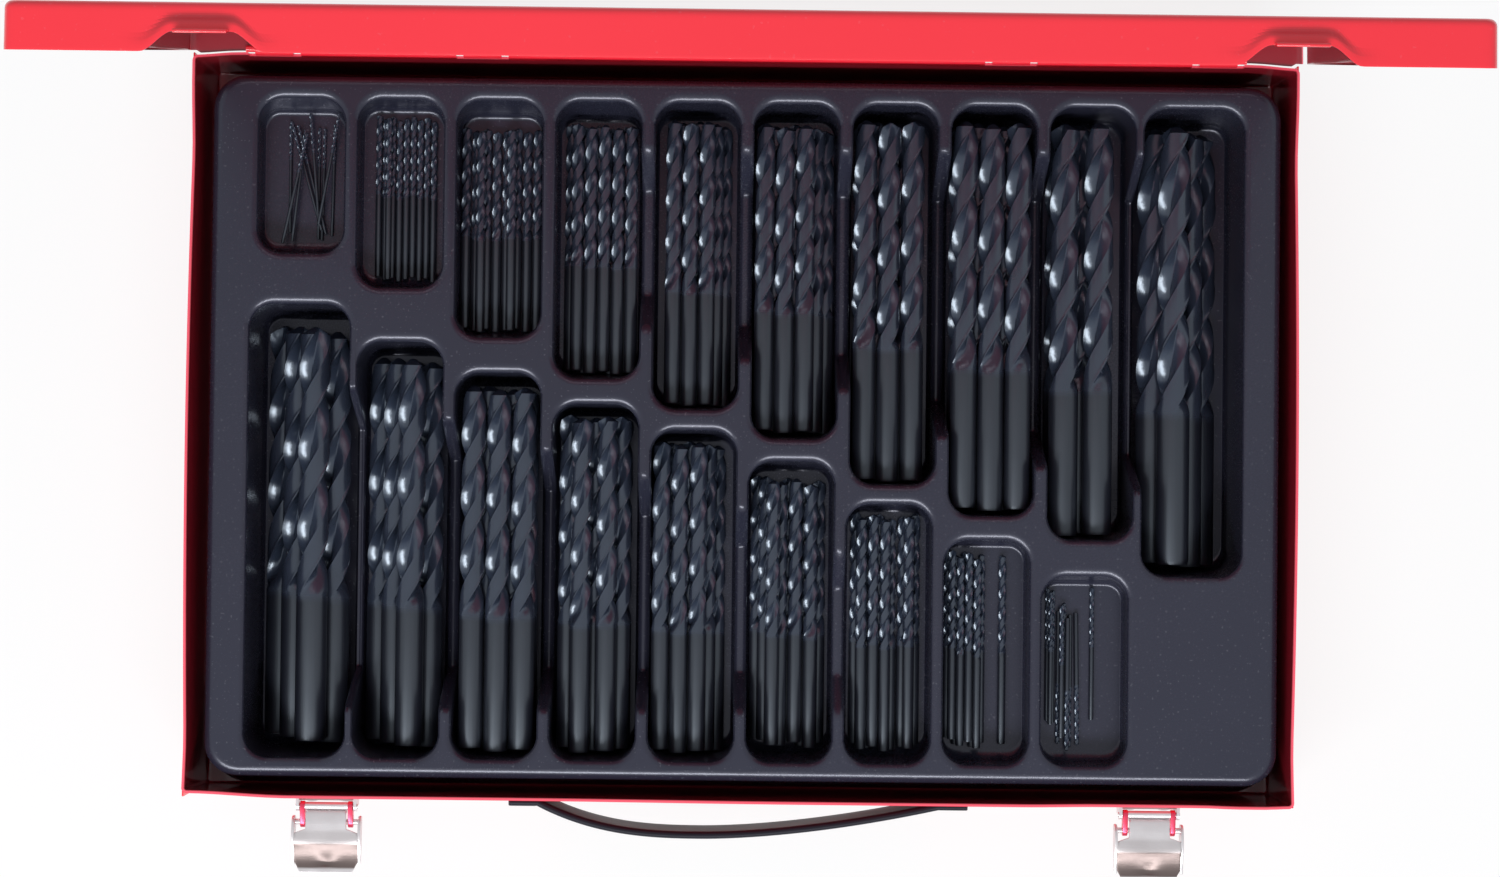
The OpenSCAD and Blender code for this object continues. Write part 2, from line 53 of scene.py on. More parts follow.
# --- Camera and lamp ---

PHOTO_WIDTH = 1500
FOCAL_PIXELS = 2930.84
SENSOR = 36
CAMERA_PLACE = (-4.309, -22.152, 911.175)
CAMERA_TILT = (("Z", -0.67345), ("Y", 0.42694), ("X", -1.28487))


def aim_camera():
    """The camera stands a little in front of the case's middle and looks straight down."""
    tilt = Matrix.Identity(4)
    for axis, degrees in CAMERA_TILT:
        tilt = tilt @ Matrix.Rotation(degrees * math.pi / 180, 4, axis)
    lens = bpy.data.cameras.new("camera")
    lens.sensor_width = SENSOR
    lens.lens = FOCAL_PIXELS / PHOTO_WIDTH * SENSOR
    lens.clip_start = 0.02
    camera = bpy.data.objects.new("camera", lens)
    camera.matrix_world = Matrix.Translation(Vector(CAMERA_PLACE) * MM) @ tilt.transposed()
    bpy.context.scene.collection.objects.link(camera)
    bpy.context.scene.camera = camera


def light_studio():
    """One long soft lamp in front of the case, above it."""
    place, target = Vector((-0.15, -0.84, 0.88)), Vector((0, 0.02, 0.0))
    lamp = bpy.data.lights.new("front_box", "AREA")
    lamp.shape = "RECTANGLE"
    lamp.size, lamp.size_y = 1.3, 0.2
    lamp.energy = 13.3
    lamp.color = (0.96, 0.975, 1.0)
    stand = bpy.data.objects.new("front_box", lamp)
    stand.location = place
    stand.rotation_mode = "QUATERNION"
    stand.rotation_quaternion = (target - place).to_track_quat("-Z", "Y")
    bpy.context.scene.collection.objects.link(stand)


# --- Shader kit ---

class Flow:
    """A number, colour or vector that leaves a socket."""

    def __init__(self, shop, socket):
        self.shop, self.socket = shop, socket

    def _math(self, kind, a, b):
        return self.shop.node("ShaderNodeMath", {"operation": kind}, {0: a, 1: b})

    def __add__(self, other):
        return self._math("ADD", self, other)

    def __radd__(self, other):
        return self._math("ADD", other, self)

    def __rsub__(self, other):
        return self._math("SUBTRACT", other, self)

    def __mul__(self, other):
        return self._math("MULTIPLY", self, other)

    def __rmul__(self, other):
        return self._math("MULTIPLY", other, self)


class Shop:
    """Builds one material's nodes."""

    def __init__(self, name):
        self.material = bpy.data.materials.new(name)
        self.material.use_nodes = True
        self.tree = self.material.node_tree
        self.tree.nodes.clear()
        self.where = self.place()

    def node(self, kind, settings=None, inputs=None, out=0):
        """Any node with its settings and inputs. Gives the output that out names."""
        made = self.tree.nodes.new(kind)
        for key, value in (settings or {}).items():
            setattr(made, key, value)
        for key, value in (inputs or {}).items():
            socket = made.inputs[key]
            if isinstance(value, Flow):
                self.tree.links.new(value.socket, socket)
            else:
                socket.default_value = value
        return Flow(self, made.outputs[out]) if made.outputs else None

    def place(self, scale=(1, 1, 1)):
        coords = self.node("ShaderNodeTexCoord", out="Object")
        return self.node("ShaderNodeVectorMath", {"operation": "MULTIPLY"}, {0: coords, 1: scale})

    def layer(self, name):
        """The number that a piece's vertices carry under this name."""
        return self.node("ShaderNodeAttribute", {"attribute_name": name}, {}, "Fac")

    def noise(self, scale, detail, stretch=None):
        where = self.place(stretch) if stretch else self.where
        return self.node("ShaderNodeTexNoise", {}, {"Vector": where, "Scale": scale, "Detail": detail,
                                                   "Roughness": 0.5}, "Fac")

    def step(self, value, low, high):
        return self.node("ShaderNodeMapRange", {"interpolation_type": "SMOOTHSTEP"},
                         {"Value": value, "From Min": low, "From Max": high, "To Min": 0.0, "To Max": 1.0})

    def blend(self, amount, first, second):
        """Colour first where amount is 0, second where it is 1."""
        return self.node("ShaderNodeMix", {"data_type": "RGBA"}, {"Factor": amount, 6: first, 7: second}, 2)

    def bump(self, height, strength, distance, under=None):
        inputs = {"Height": height, "Strength": strength, "Distance": distance}
        if under is not None:
            inputs["Normal"] = under
        return self.node("ShaderNodeBump", {}, inputs)

    def finish(self, **sockets):
        """The surface, from the shader's inputs by name, such as base_color."""
        inputs = {}
        for key, value in sockets.items():
            inputs[key.replace("_", " ").title().replace("Ior", "IOR")] = value
        skin = self.node("ShaderNodeBsdfPrincipled", {}, inputs)
        self.node("ShaderNodeOutputMaterial", {}, {"Surface": skin})
        return self.material


def rgb(r, g, b):
    """A colour given as it looks on a screen, 0 to 255."""
    def linear(c):
        c /= 255
        return c / 12.92 if c <= 0.04045 else ((c + 0.055) / 1.055) ** 2.4
    return (linear(r), linear(g), linear(b), 1)


# --- Materials ---

def red_enamel():
    shop = Shop("red_enamel")
    cloud = shop.noise(9, 2)
    speck = shop.step(shop.noise(900, 1), 0.735, 0.76)
    paint = shop.blend(cloud, rgb(242, 30, 48), rgb(248, 36, 54))
    paint = shop.blend(speck * 0.35, paint, rgb(238, 90, 100))
    inside = shop.layer("inside")
    # painted shade: the inner faces of the lid and base are painted a darker red in place of the shade that
    # falls inside the case
    paint = shop.blend(inside, paint, rgb(150, 28, 42))
    # painted highlight: across the sheet's cut edges, where the inside layer runs between 0 and 1, the
    # paint turns light pink as if the edge caught the light
    edge = shop.step(inside, 0.01, 0.12) * (1 - shop.step(inside, 0.55, 0.95))
    paint = shop.blend(edge * 0.85, paint, rgb(255, 92, 114))
    peel = shop.noise(420, 2)
    sweep = shop.noise(16, 1)
    press = shop.layer("press")
    skin = shop.bump(peel, 0.10, 0.00025, shop.bump(sweep, 0.25, 0.0012, shop.bump(press, 1.0, 0.0014)))
    return shop.finish(base_color=paint, roughness=0.30 + 0.08 * cloud, normal=skin,
                       specular_ior_level=0.5, coat_weight=0.8, coat_roughness=0.08)


def tray_plastic():
    shop = Shop("tray_plastic")
    cloud = shop.noise(14, 4)
    grain = shop.noise(1500, 2)
    wave = shop.noise(45, 2)
    dust = shop.step(shop.noise(1300, 0), 0.76, 0.79)
    shade = shop.blend(cloud, rgb(34, 35, 48), rgb(41, 42, 56))
    shade = shop.blend(dust * 0.25, shade, rgb(120, 122, 130))
    skin = shop.bump(grain, 0.12, 0.00012, shop.bump(wave, 0.25, 0.0006))
    return shop.finish(base_color=shade, roughness=0.20 + 0.08 * cloud + 0.05 * grain, normal=skin,
                       specular_ior_level=0.7, specular_tint=(0.88, 0.89, 1, 1))


def black_oxide():
    """Blue-black drills: the ground flutes shine and the shanks are matt, as the shank layer says."""
    shop = Shop("black_oxide")
    shank = shop.layer("shank")
    land = shop.layer("land")
    cloud = shop.noise(120, 3)
    lines = shop.noise(2600, 2, (1, 0.02, 1))
    flute = shop.blend(cloud, rgb(38, 46, 60), rgb(54, 62, 78))
    body = shop.blend(cloud, rgb(34, 40, 52), rgb(46, 52, 66))
    tone = shop.blend(land, flute, body)
    tone = shop.blend(shank, tone, shop.blend(lines, rgb(16, 17, 24), rgb(27, 29, 38)))
    rough = 0.19 + 0.07 * cloud + 0.03 * land + 0.10 * shank
    skin = shop.bump(lines, 0.25, 0.00012)
    return shop.finish(base_color=tone, roughness=rough, normal=skin,
                       ior=1.85, specular_tint=(0.8, 0.9, 1, 1))


def nickel_plate():
    shop = Shop("nickel_plate")
    cloud = shop.noise(160, 3)
    lines = shop.noise(2400, 2, (0.05, 1, 1))
    painted_reflection = shop.layer("painted_reflection")
    tone = shop.blend(cloud, rgb(222, 216, 216), rgb(240, 236, 236))
    # painted reflection: the plating turns a darker brown where this layer is high, standing in for dark
    # surroundings mirrored in the thumb panel
    tone = shop.blend(painted_reflection * (0.85 + 0.3 * cloud), tone, rgb(120, 106, 102))
    skin = shop.bump(shop.noise(3200, 2), 0.2, 0.0001, shop.bump(lines, 0.15, 0.0001))
    return shop.finish(base_color=tone, roughness=0.24 + 0.14 * cloud, metallic=0.6, normal=skin)


def nickel_with_painted_red_reflection():
    """The link arms stand beside the red wall: its reflection in their nickel is painted into their colour.
    """
    shop = Shop("nickel_with_painted_red_reflection")
    tone = shop.blend(shop.noise(300, 2), rgb(238, 52, 84), rgb(244, 92, 120))
    return shop.finish(base_color=tone, roughness=0.2 + 0.1 * shop.noise(900, 2), metallic=0.6)


def drawn_steel():
    shop = Shop("drawn_steel")
    lines = shop.noise(3000, 2, (0.03, 1, 1))
    tone = shop.blend(lines, rgb(196, 190, 188), rgb(226, 220, 218))
    return shop.finish(base_color=tone, roughness=0.18 + 0.14 * lines, metallic=1.0,
                       normal=shop.bump(lines, 0.2, 0.0001))


def strap_rubber():
    shop = Shop("strap_rubber")
    cloud = shop.noise(60, 3)
    grain = shop.noise(1900, 2)
    tone = shop.blend(cloud, rgb(22, 22, 30), rgb(32, 31, 42))
    return shop.finish(base_color=tone, roughness=0.42 + 0.12 * cloud, specular_ior_level=0.2,
                       normal=shop.bump(grain, 0.25, 0.00015))


def stud_black():
    shop = Shop("stud_black")
    tone = shop.blend(shop.noise(300, 3), rgb(30, 30, 32), rgb(46, 46, 48))
    return shop.finish(base_color=tone, roughness=0.30 + 0.1 * shop.noise(800, 2), metallic=0.4)


def pale_floor():
    """A white ground: mostly a glow to the camera and in gloss, and plain enough to take a shadow."""
    shop = Shop("pale_floor")
    rays = shop.tree.nodes.new("ShaderNodeLightPath")
    seen = Flow(shop, rays.outputs["Is Camera Ray"]) + Flow(shop, rays.outputs["Is Glossy Ray"])
    tone = shop.blend(shop.noise(3, 2), (0.86, 0.86, 0.86, 1), (0.90, 0.90, 0.90, 1))
    ground = shop.node("ShaderNodeBsdfPrincipled", {}, {"Base Color": tone, "Roughness": 0.9})
    glow = shop.node("ShaderNodeEmission", {}, {"Color": (1, 1, 1, 1), "Strength": 1.0})
    mixed = shop.node("ShaderNodeMixShader", {}, {0: seen * 0.8, 1: ground, 2: glow})
    shop.node("ShaderNodeOutputMaterial", {}, {"Surface": mixed})
    return shop.material


PAINT, PLASTIC, OXIDE = red_enamel(), tray_plastic(), black_oxide()
NICKEL, STEEL, RUBBER, STUD = nickel_plate(), drawn_steel(), strap_rubber(), stud_black()
PAINTED_RED_REFLECTION_NICKEL = nickel_with_painted_red_reflection()


# --- Mesh helpers, in millimetres ---

def piece(name, points, faces, material, smooth_angle=40, tidy=True):
    """An object with one mesh, from points in millimetres."""
    mesh = bpy.data.meshes.new(name)
    mesh.from_pydata([Vector(p) * MM for p in points], [], faces)
    mesh.materials.append(material)
    mesh.validate()
    made = bpy.data.objects.new(name, mesh)
    bpy.context.scene.collection.objects.link(made)
    if tidy:
        outwards(made)
    mesh.shade_smooth()
    mesh.set_sharp_from_angle(angle=math.radians(smooth_angle))
    return made


def outwards(made):
    """Merges points that coincide and turns every face outwards."""
    bm = bmesh.new()
    bm.from_mesh(made.data)
    bmesh.ops.remove_doubles(bm, verts=bm.verts, dist=1e-6)
    bmesh.ops.recalc_face_normals(bm, faces=bm.faces)
    bm.to_mesh(made.data)
    bm.free()


def flipped(faces):
    return [tuple(reversed(f)) for f in faces]


def settle(made):
    """Applies the modifiers and keeps the result as a plain mesh."""
    graph = bpy.context.evaluated_depsgraph_get()
    mesh = bpy.data.meshes.new_from_object(made.evaluated_get(graph), depsgraph=graph)
    made.modifiers.clear()
    made.data = mesh
    return made


def thicken(made, amount, offset=-1, even=True):
    """Gives a surface the sheet's thickness and marks its second face in the inside layer."""
    wall = made.modifiers.new("wall", "SOLIDIFY")
    wall.thickness, wall.offset, wall.use_even_offset = amount * MM, offset, even
    outer = len(made.data.vertices)
    settle(made)
    return tint(made, "inside", [float(i >= outer) for i in range(len(made.data.vertices))])


def soften(made, width, segments=2, angle=35):
    edge = made.modifiers.new("edge", "BEVEL")
    edge.width, edge.segments, edge.limit_method = width * MM, segments, "ANGLE"
    edge.angle_limit = math.radians(angle)
    edge.harden_normals = False
    return settle(made)


def tint(made, layer, values):
    """Writes one number per vertex, which the materials read by the layer's name."""
    mesh = made.data
    old = mesh.attributes.get(layer)
    if old:
        mesh.attributes.remove(old)
    data = mesh.attributes.new(layer, "FLOAT", "POINT").data
    for slot, value in zip(data, values):
        slot.value = value
    return made


def join(name, parts):
    """One mesh of several pieces' meshes, with their layers."""
    points, faces, base = [], [], 0
    layers = {"inside": [], "painted_reflection": []}
    for part in parts:
        mesh = part.data
        points += [tuple(v.co / MM) for v in mesh.vertices]
        faces += [tuple(base + i for i in f.vertices) for f in mesh.polygons]
        for layer, values in layers.items():
            found = mesh.attributes.get(layer)
            values += [slot.value for slot in found.data] if found else [0.0] * len(mesh.vertices)
        base += len(mesh.vertices)
        material = mesh.materials[0]
        bpy.data.objects.remove(part)
    made = piece(name, points, faces, material, tidy=False)
    for layer, values in layers.items():
        if any(values):
            tint(made, layer, values)
    return made


def settle_on(made, body, slot, *nodes):
    """Says which body moves a piece and which CAD nodes it replaces. The slot, what it is made of, is not
    used.
    """
    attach(made, body)
    if nodes:
        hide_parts(*nodes)


def bridge(rows, closed=True):
    """Faces between rows of points that have the same number of points, rows given by first index."""
    faces = []
    for (a, n), (b, _) in zip(rows, rows[1:]):
        for i in range(n if closed else n - 1):
            j = (i + 1) % n
            faces.append((a + i, a + j, b + j, b + i))
    return faces


def row_face(row):
    """One face over a whole row."""
    first, n = row
    return tuple(range(first, first + n))


def capped(rows):
    """Bridged rows with a face at both ends."""
    return bridge(rows) + [row_face(rows[0]), row_face(rows[-1])]


def extrude_x(profile, x0, x1):
    """A closed (y, z) profile stretched from x0 to x1."""
    n = len(profile)
    points = [(x0, y, z) for y, z in profile] + [(x1, y, z) for y, z in profile]
    faces = [(i, (i + 1) % n, n + (i + 1) % n, n + i) for i in range(n)]
    return points, faces + [tuple(range(n))[::-1], tuple(range(n, 2 * n))]


def arc(cy, cz, r, start, end, steps):
    """Points round (cy, cz), angles in degrees from +Y towards +Z."""
    angles = [math.radians(start + (end - start) * i / steps) for i in range(steps + 1)]
    return [(cy + r * math.cos(a), cz + r * math.sin(a)) for a in angles]


# --- Case: base and lid ---

BASE_W, BASE_D, BASE_H, SHEET = 330.0, 222.0, 38.0, 0.9
BASE_FOLD, BASE_WALLS = 1.6, (0.05, 0.35, 0.65, 0.88, 0.94, 1.0)
HINGE_Y, HINGE_Z, ROLL_IN, ROLL_OUT, ROLL_GAP = 112.05, 38.0, 1.07, 1.95, 0.35
SIDE_CLEAR, LID_DEPTH, LID_RIM, LID_OPEN = 1.3, 11.0, 37.4, 81.2
LID_HALF, LID_FRONT, LID_BACK = BASE_W / 2 + SIDE_CLEAR + SHEET, -112.25, 114.0
LID_FOLD, LID_WALLS = 1.7, (0.07, 0.15, 0.24, 0.34, 0.45, 0.56, 0.66, 0.76, 0.85, 0.93, 1.0)
LID_TOP = LID_RIM + LID_DEPTH
LATCH_X = 122.5
KNUCKLES = [(-146.65, -135.35), (-84.65, -73.35), (73.35, 84.65), (135.35, 146.65)]
KNUCKLES_END = 147.3
ROLLS = [(-133.15, -86.85), (-71.15, 71.15), (86.85, 133.15)]


def swung(p, degrees):
    """A point turned about the hinge wire."""
    turn = math.radians(degrees)
    y, z = p[1] - HINGE_Y, p[2] - HINGE_Z
    return (p[0], HINGE_Y + y * math.cos(turn) - z * math.sin(turn),
            HINGE_Z + y * math.sin(turn) + z * math.cos(turn))


def opened(points):
    """The closed lid's points, with the lid swung open."""
    return [swung(p, -LID_OPEN) for p in points]


def ease(t):
    t = min(1.0, max(0.0, t))
    return t * t * (3 - 2 * t)


def pan_ring(half_x, front, back, r, xs, ys):
    """Points round a rectangle with round corners, anticlockwise from the front left.
    xs and ys are the stops along the straight sides. Each point is (x, y, side)."""
    ring = []

    def corner(cx, cy, start):
        for i in range(6):
            a = math.radians(start + 90 * i / 5)
            ring.append((cx + r * math.cos(a), cy + r * math.sin(a), "corner"))

    ring += [(x, front, "front") for x in xs]
    corner(half_x - r, front + r, -90)
    ring += [(half_x, y, "right") for y in ys]
    corner(half_x - r, back - r, 0)
    ring += [(x, back, "back") for x in reversed(xs)]
    corner(r - half_x, back - r, 90)
    ring += [(-half_x, y, "left") for y in reversed(ys)]
    corner(r - half_x, front + r, 180)
    return ring


def pan_levels(fold, shares):
    """A pan's rings from its panel to its rim: (inset, rise in the fold, share of the wall)."""
    bend = [math.radians(90 * i / 5) for i in range(6)]
    return ([(fold * (1 - math.sin(a)), fold * (1 - math.cos(a)), 0) for a in bend]
            + [(0, fold, share) for share in shares])


def latch_reach(x):
    """Distance along the wall from the nearer latch's middle."""
    return abs(abs(x) - LATCH_X)


def arch_height(x):
    """How far the lid's rim rises over the latch at x."""
    return 4.55 * (1 - ease((latch_reach(x) - 6.4) / 7.8))


def arch_flare(x, above):
    """How far the lid's front bulges outwards, above being the distance from the rim. It is small,
    so that the shut link and hasp clear it."""
    return 0.4 * (1 - ease((latch_reach(x) - 4) / 5)) * (1 - ease((above - 1.9) / 1.5))


def arch_press(p):
    """Height of the paint's bump over an arch, from 0 to 1, for a point of the open lid. Only the
    sheet's outer half of the front wall has it."""
    x, y, z = swung(p, LID_OPEN)
    if y > LID_FRONT + SHEET / 2 or latch_reach(x) > 22:
        return 0.0
    above = z - LID_RIM - arch_height(x)
    return (1 - ease((latch_reach(x) - 5) / 14)) * (1 - ease((above - 1.5) / 2.6))


def lid_stops():
    """Stops along the lid's front and back: close together over the latches and at the ends."""
    over_latch = [-24, -20, 20, 24] + [0.9 * k for k in range(-19, 20)]
    ends = (KNUCKLES_END - 0.1, KNUCKLES_END + 0.1, 151, 155, 158, 161, 163.2)
    return sorted({round(s * (LATCH_X + d), 2) for s in (-1, 1) for d in over_latch}
                  | set(range(-90, 91, 30)) | {s * x for s in (-1, 1) for x in ends})


def lid_rim(x, side):
    """Height of the closed lid's rim: arched over the latches, cut clear of the rolls behind, and a
    little lower at the back's ends."""
    if side == "front":
        return LID_RIM + arch_height(x)
    if side != "back":
        return LID_RIM
    if abs(x) < KNUCKLES_END:
        return HINGE_Z + ROLL_OUT + ROLL_GAP
    return LID_RIM - 0.8 * ease((abs(x) - 151) / 14)


def side_lean(z):
    """How far the lid's side walls lean in at height z."""
    return 0.5 * (z - LID_RIM) / LID_DEPTH


def in_seam(x, y, z):
    """Whether sheet is missing where the back and side walls meet: a slit on the left, and on the
    right the last of the side wall."""
    inset = LID_HALF - abs(x) - side_lean(z)
    if z > LID_TOP - LID_FOLD - 0.3 or inset > 0.45:
        return False
    return y > LID_BACK - 9 if x > 0 else y > LID_BACK - 2.6 and inset > 0.2


def lid_shell():
    """The pressed lid: a flat panel, rounded folds and walls, with an arch over each latch."""
    depth = LID_BACK - LID_FRONT
    ys = sorted([LID_FRONT + 6 + i * (depth - 12) / 14 for i in range(15)] + [LID_BACK - 9])
    wall_top = LID_TOP - LID_FOLD
    points, rows = [], []
    for inset, rise, share in pan_levels(LID_FOLD, LID_WALLS):
        ring = pan_ring(LID_HALF - inset, LID_FRONT + inset, LID_BACK - inset, max(2.6 - 0.55 * inset, 0.8),
                        lid_stops(), ys)
        rows.append((len(points), len(ring)))
        for x, y, side in ring:
            rim = lid_rim(x, side)
            z = LID_TOP - rise + (rim - wall_top) * share
            if side == "front":
                y -= arch_flare(x, z - rim)
            x -= math.copysign(side_lean(z) * ease((abs(x) - 150) / 17), x)
            points.append((x, y, z))
    walls = []
    for face in bridge(rows):
        middle = [sum(points[i][axis] for i in face) / len(face) for axis in range(3)]
        if not in_seam(*middle):
            walls.append(face)
    shell = piece("lid_shell", opened(points), walls + [row_face(rows[0])], PAINT, 50)
    return soften(thicken(shell, SHEET, even=False), 0.32, 2, 60)


def rolled(x0, x1, wall_top, outer_side, start, end):
    """A strip of sheet that comes down from the wall and curls round the wire."""
    outer = arc(HINGE_Y, HINGE_Z, ROLL_OUT, start, end, 22)
    inner = arc(HINGE_Y, HINGE_Z, ROLL_IN, start, end, 22)
    wall_out = (HINGE_Y + outer_side * ROLL_OUT, wall_top)
    wall_in = (HINGE_Y + outer_side * ROLL_IN, wall_top)
    return extrude_x([wall_out] + outer + inner[::-1] + [wall_in], x0, x1)


def catch_lip(side):
    """The lip that the hasp's nose hooks over, folded out of the arch's edge."""
    inner, nose, top, low, half = -111.9, -115.9, 42.5, 41.6, 6
    profile = [(inner, top), (nose + 0.3, top), (nose, top - 0.3),
               (nose, low + 0.25), (nose + 0.3, low), (inner, low)]
    points, faces = extrude_x(profile, side * LATCH_X - half, side * LATCH_X + half)
    return soften(piece("lip", opened(points), faces, PAINT), 0.2, 2, 30)


def make_lid():
    parts = [lid_shell()]
    for x0, x1 in KNUCKLES:
        points, faces = rolled(x0, x1, 44.5, 1, 0, -262)
        parts.append(soften(piece("knuckle", opened(points), faces, PAINT), 0.12, 2, 60))
    parts += [catch_lip(side) for side, _ in SIDES]
    lid = join("lid", parts)
    tint(lid, "press", [arch_press(v.co / MM) for v in lid.data.vertices])
    settle_on(lid, "lid", "red_paint", "lid_pan")


def out_of_true(x, y, lift):
    """The thin walls' bends, lift being the share of the wall's height: the sides bow out, the
    back's ends and the front's left end are drawn in, and the front bows out a little in its middle
    and near its right end."""
    half_x, front, back = BASE_W / 2, -BASE_D / 2, BASE_D / 2
    if abs(x) > half_x - 3:
        along = (y - front) / (back - front)
        x += math.copysign(1.5 * math.sin(math.pi * min(1, along * 1.06)) ** 0.8 - 0.5, x) * lift
    if y > back - 3:
        y -= 0.9 * ease((abs(x) - 151) / 14) * lift
    if y < front + 3:
        left_end = 1.2 * ease((-x - 134) / 30)
        middle = 0.3 * ease((x + 70) / 90) * (1 - ease((x - 85) / 22))
        right_end = 0.3 * ease((x - 137) / 12) * (1 - ease((x - 156) / 9))
        y += lift * (left_end - middle - right_end)
    return x, y


def base_shell():
    """The pressed base, with its back wall cut down where the lid's knuckles turn."""
    half_x, front, back = BASE_W / 2, -BASE_D / 2, BASE_D / 2
    gaps = [(a - 2.2, b + 2.2) for a, b in KNUCKLES]
    steps = [edge + d for gap in gaps for edge in gap for d in (-0.02, 0.02)]
    ends = [s * x for s in (-1, 1) for x in (154, 157, 160, 162.4)]
    xs = sorted({*range(-150, 151, 5), *steps, *ends})
    ys = [front + 3 + i * (back - front - 6) / 36 for i in range(37)]
    points, rows = [], []
    for inset, rise, share in pan_levels(BASE_FOLD, BASE_WALLS):
        ring = pan_ring(half_x - inset, front + inset, back - inset, max(1.7 - 0.6 * inset, 0.7), xs, ys)
        rows.append((len(points), len(ring)))
        for x, y, side in ring:
            in_gap = side == "back" and any(a < x < b for a, b in gaps)
            rim = BASE_H - ROLL_OUT - ROLL_GAP if in_gap else BASE_H
            points.append((*out_of_true(x, y, share), rise + (rim - BASE_FOLD) * share))
    shell = piece("base_shell", points, bridge(rows) + [row_face(rows[0])], PAINT, 50)
    return thicken(shell, SHEET)


def corner_tabs():
    """The walls' end tabs, folded round each corner and welded inside the side walls."""
    parts = []
    for sx in (-1, 1):
        for sy, reach in ((-1, 8.0), (1, 6.6)):
            x_out, x_in = sx * (BASE_W / 2 + 0.28), sx * (BASE_W / 2 - 0.3)
            y0 = sy * (BASE_D / 2 - 0.15)
            y1 = sy * (BASE_D / 2 - reach)
            corners = [(x_out, y0), (x_out, y1), (x_in, y1), (x_in, y0)]
            points = [(x, y, z) for z in (1.4, BASE_H - 0.12) for x, y in corners]
            parts.append(soften(piece("tab", points, capped([(0, 4), (4, 4)]), PAINT), 0.25))
    return parts


def make_base():
    parts = [base_shell()] + corner_tabs()
    for x0, x1 in ROLLS:
        points, faces = rolled(x0, x1, 34.0, -1, 180, -82)
        parts.append(soften(piece("roll", points, faces, PAINT), 0.12, 2, 60))
    settle_on(join("base", parts), "base", "red_paint", "base_pan")
    dress("hinge_wire", PAINT)


def dress(node, material):
    """Gives a CAD node a material and smooth faces."""
    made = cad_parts[node]
    made.data.materials.clear()
    made.data.materials.append(material)
    made.data.shade_smooth()
    made.data.set_sharp_from_angle(angle=math.radians(40))


# --- Latches ---

LINK_PIN, HASP_PIN = (2.4, -2.4), (7.2, -3.4)
# the hasp's sheet as rows of (out, up, half width) from its pin, from the nose to the finger lip
HASP_ROWS = [
    (-3.3, 0.3, 6.0), (-3.3, 1.2, 6.0), (-3.05, 1.95, 6.0), (-2.4, 2.3, 6.0), (0.6, 2.35, 6.0),
    (1.9, 2.35, 6.1), (2.4, 2.35, 7.6), (3.1, 2.35, 9.4), (4.6, 2.35, 9.7), (5.8, 2.25, 9.75),
    (6.6, 1.95, 9.75), (7.6, 1.5, 9.75), (9.4, 0.95, 9.75), (11.2, 0.65, 9.7), (12.2, 0.62, 9.2),
    (13.2, 0.72, 8.6), (14.0, 0.92, 8.3), (14.7, 1.05, 7.9), (15.0, 1.1, 7.6),
]
# the hasp's side flange, (out, up) from its pin
HASP_FLANGE = [
    (-1.8, -1.0), (-1.4, -1.7), (-0.6, -1.9), (1.4, -1.9), (3.4, -1.6), (8, -0.9), (11.6, -0.2),
    (13.0, 0.5), (12.8, 1.1), (11.2, 1.2), (9.4, 1.5), (7.6, 2.05), (6.4, 2.5), (4.6, 2.8),
    (2.6, 2.8), (0.4, 2.4), (-1.2, 1.6), (-1.8, 0.6),
]
FLANGE_IN, FLANGE_OUT = 9.4, 10.3
ARM_IN, ARM_OUT = 6.35, 7.85


def at_latch(side, points):
    """From (across, out of the wall, up from the parting line) to the case."""
    return [(side * LATCH_X + across, -BASE_D / 2 - out, BASE_H + up) for across, out, up in points]


def plate(name, side, outline, x0, x1, material):
    """A flat plate of the latch from an (out, up) outline."""
    points, faces = extrude_x(outline, x0, x1)
    return soften(piece(name, at_latch(side, points), faces, material), 0.2, 2, 50)


def rod(name, side, centre, r, half, end, share):
    """A round bar across the latch. The last of it at each end narrows to a share of its radius."""
    ring = arc(*centre, r, 0, 345, 23)
    stops = ((-half, share), (end - half, 1), (half - end, 1), (half, share))
    points = [(x, centre[0] + (out - centre[0]) * k, centre[1] + (up - centre[1]) * k)
              for x, k in stops for out, up in ring]
    rows = [(len(ring) * k, len(ring)) for k in range(len(stops))]
    return piece(name, at_latch(side, points), capped(rows), NICKEL)


def hasp_painted_reflection(out):
    """How strongly a darker reflection is painted on the plating at a distance from the wall: the thumb
    panel most, its lip not at all.
    """
    before_lip = 1 - ease((out - 20.6) / 0.5)
    return (ease((out - 12.8) / 1.2) + 0.3 * ease((out - 8.5) / 2)) * before_lip


def hasp_sheet(side):
    """The hasp's nose, flat and crowned thumb panel, with the small dent near its lip."""
    rows, points, n = [], [], 25
    for out, up, half in HASP_ROWS:
        rows.append((len(points), n))
        for i in range(n):
            t = -1 + 2 * i / (n - 1)
            x = half * t
            crown = 0.35 * (1 - t * t) * ease((out - 5) / 3) * ease((15.4 - out) / 2)
            dent = math.exp(-((x + 0.2 * side) / 2.6) ** 2 - ((out - 12.0) / 1.5) ** 2)
            points.append((x, HASP_PIN[0] + out, HASP_PIN[1] + up + crown - 0.95 * dent))
    sheet = piece("hasp_sheet", at_latch(side, points), bridge(rows, closed=False), NICKEL, 60)
    sheet = soften(thicken(sheet, SHEET, 0), 0.16, 2, 50)
    # each point's painted reflection, by its distance from the wall
    return tint(sheet, "painted_reflection", [hasp_painted_reflection(-BASE_D / 2 - v.co.y / MM) for v in sheet.data.vertices])


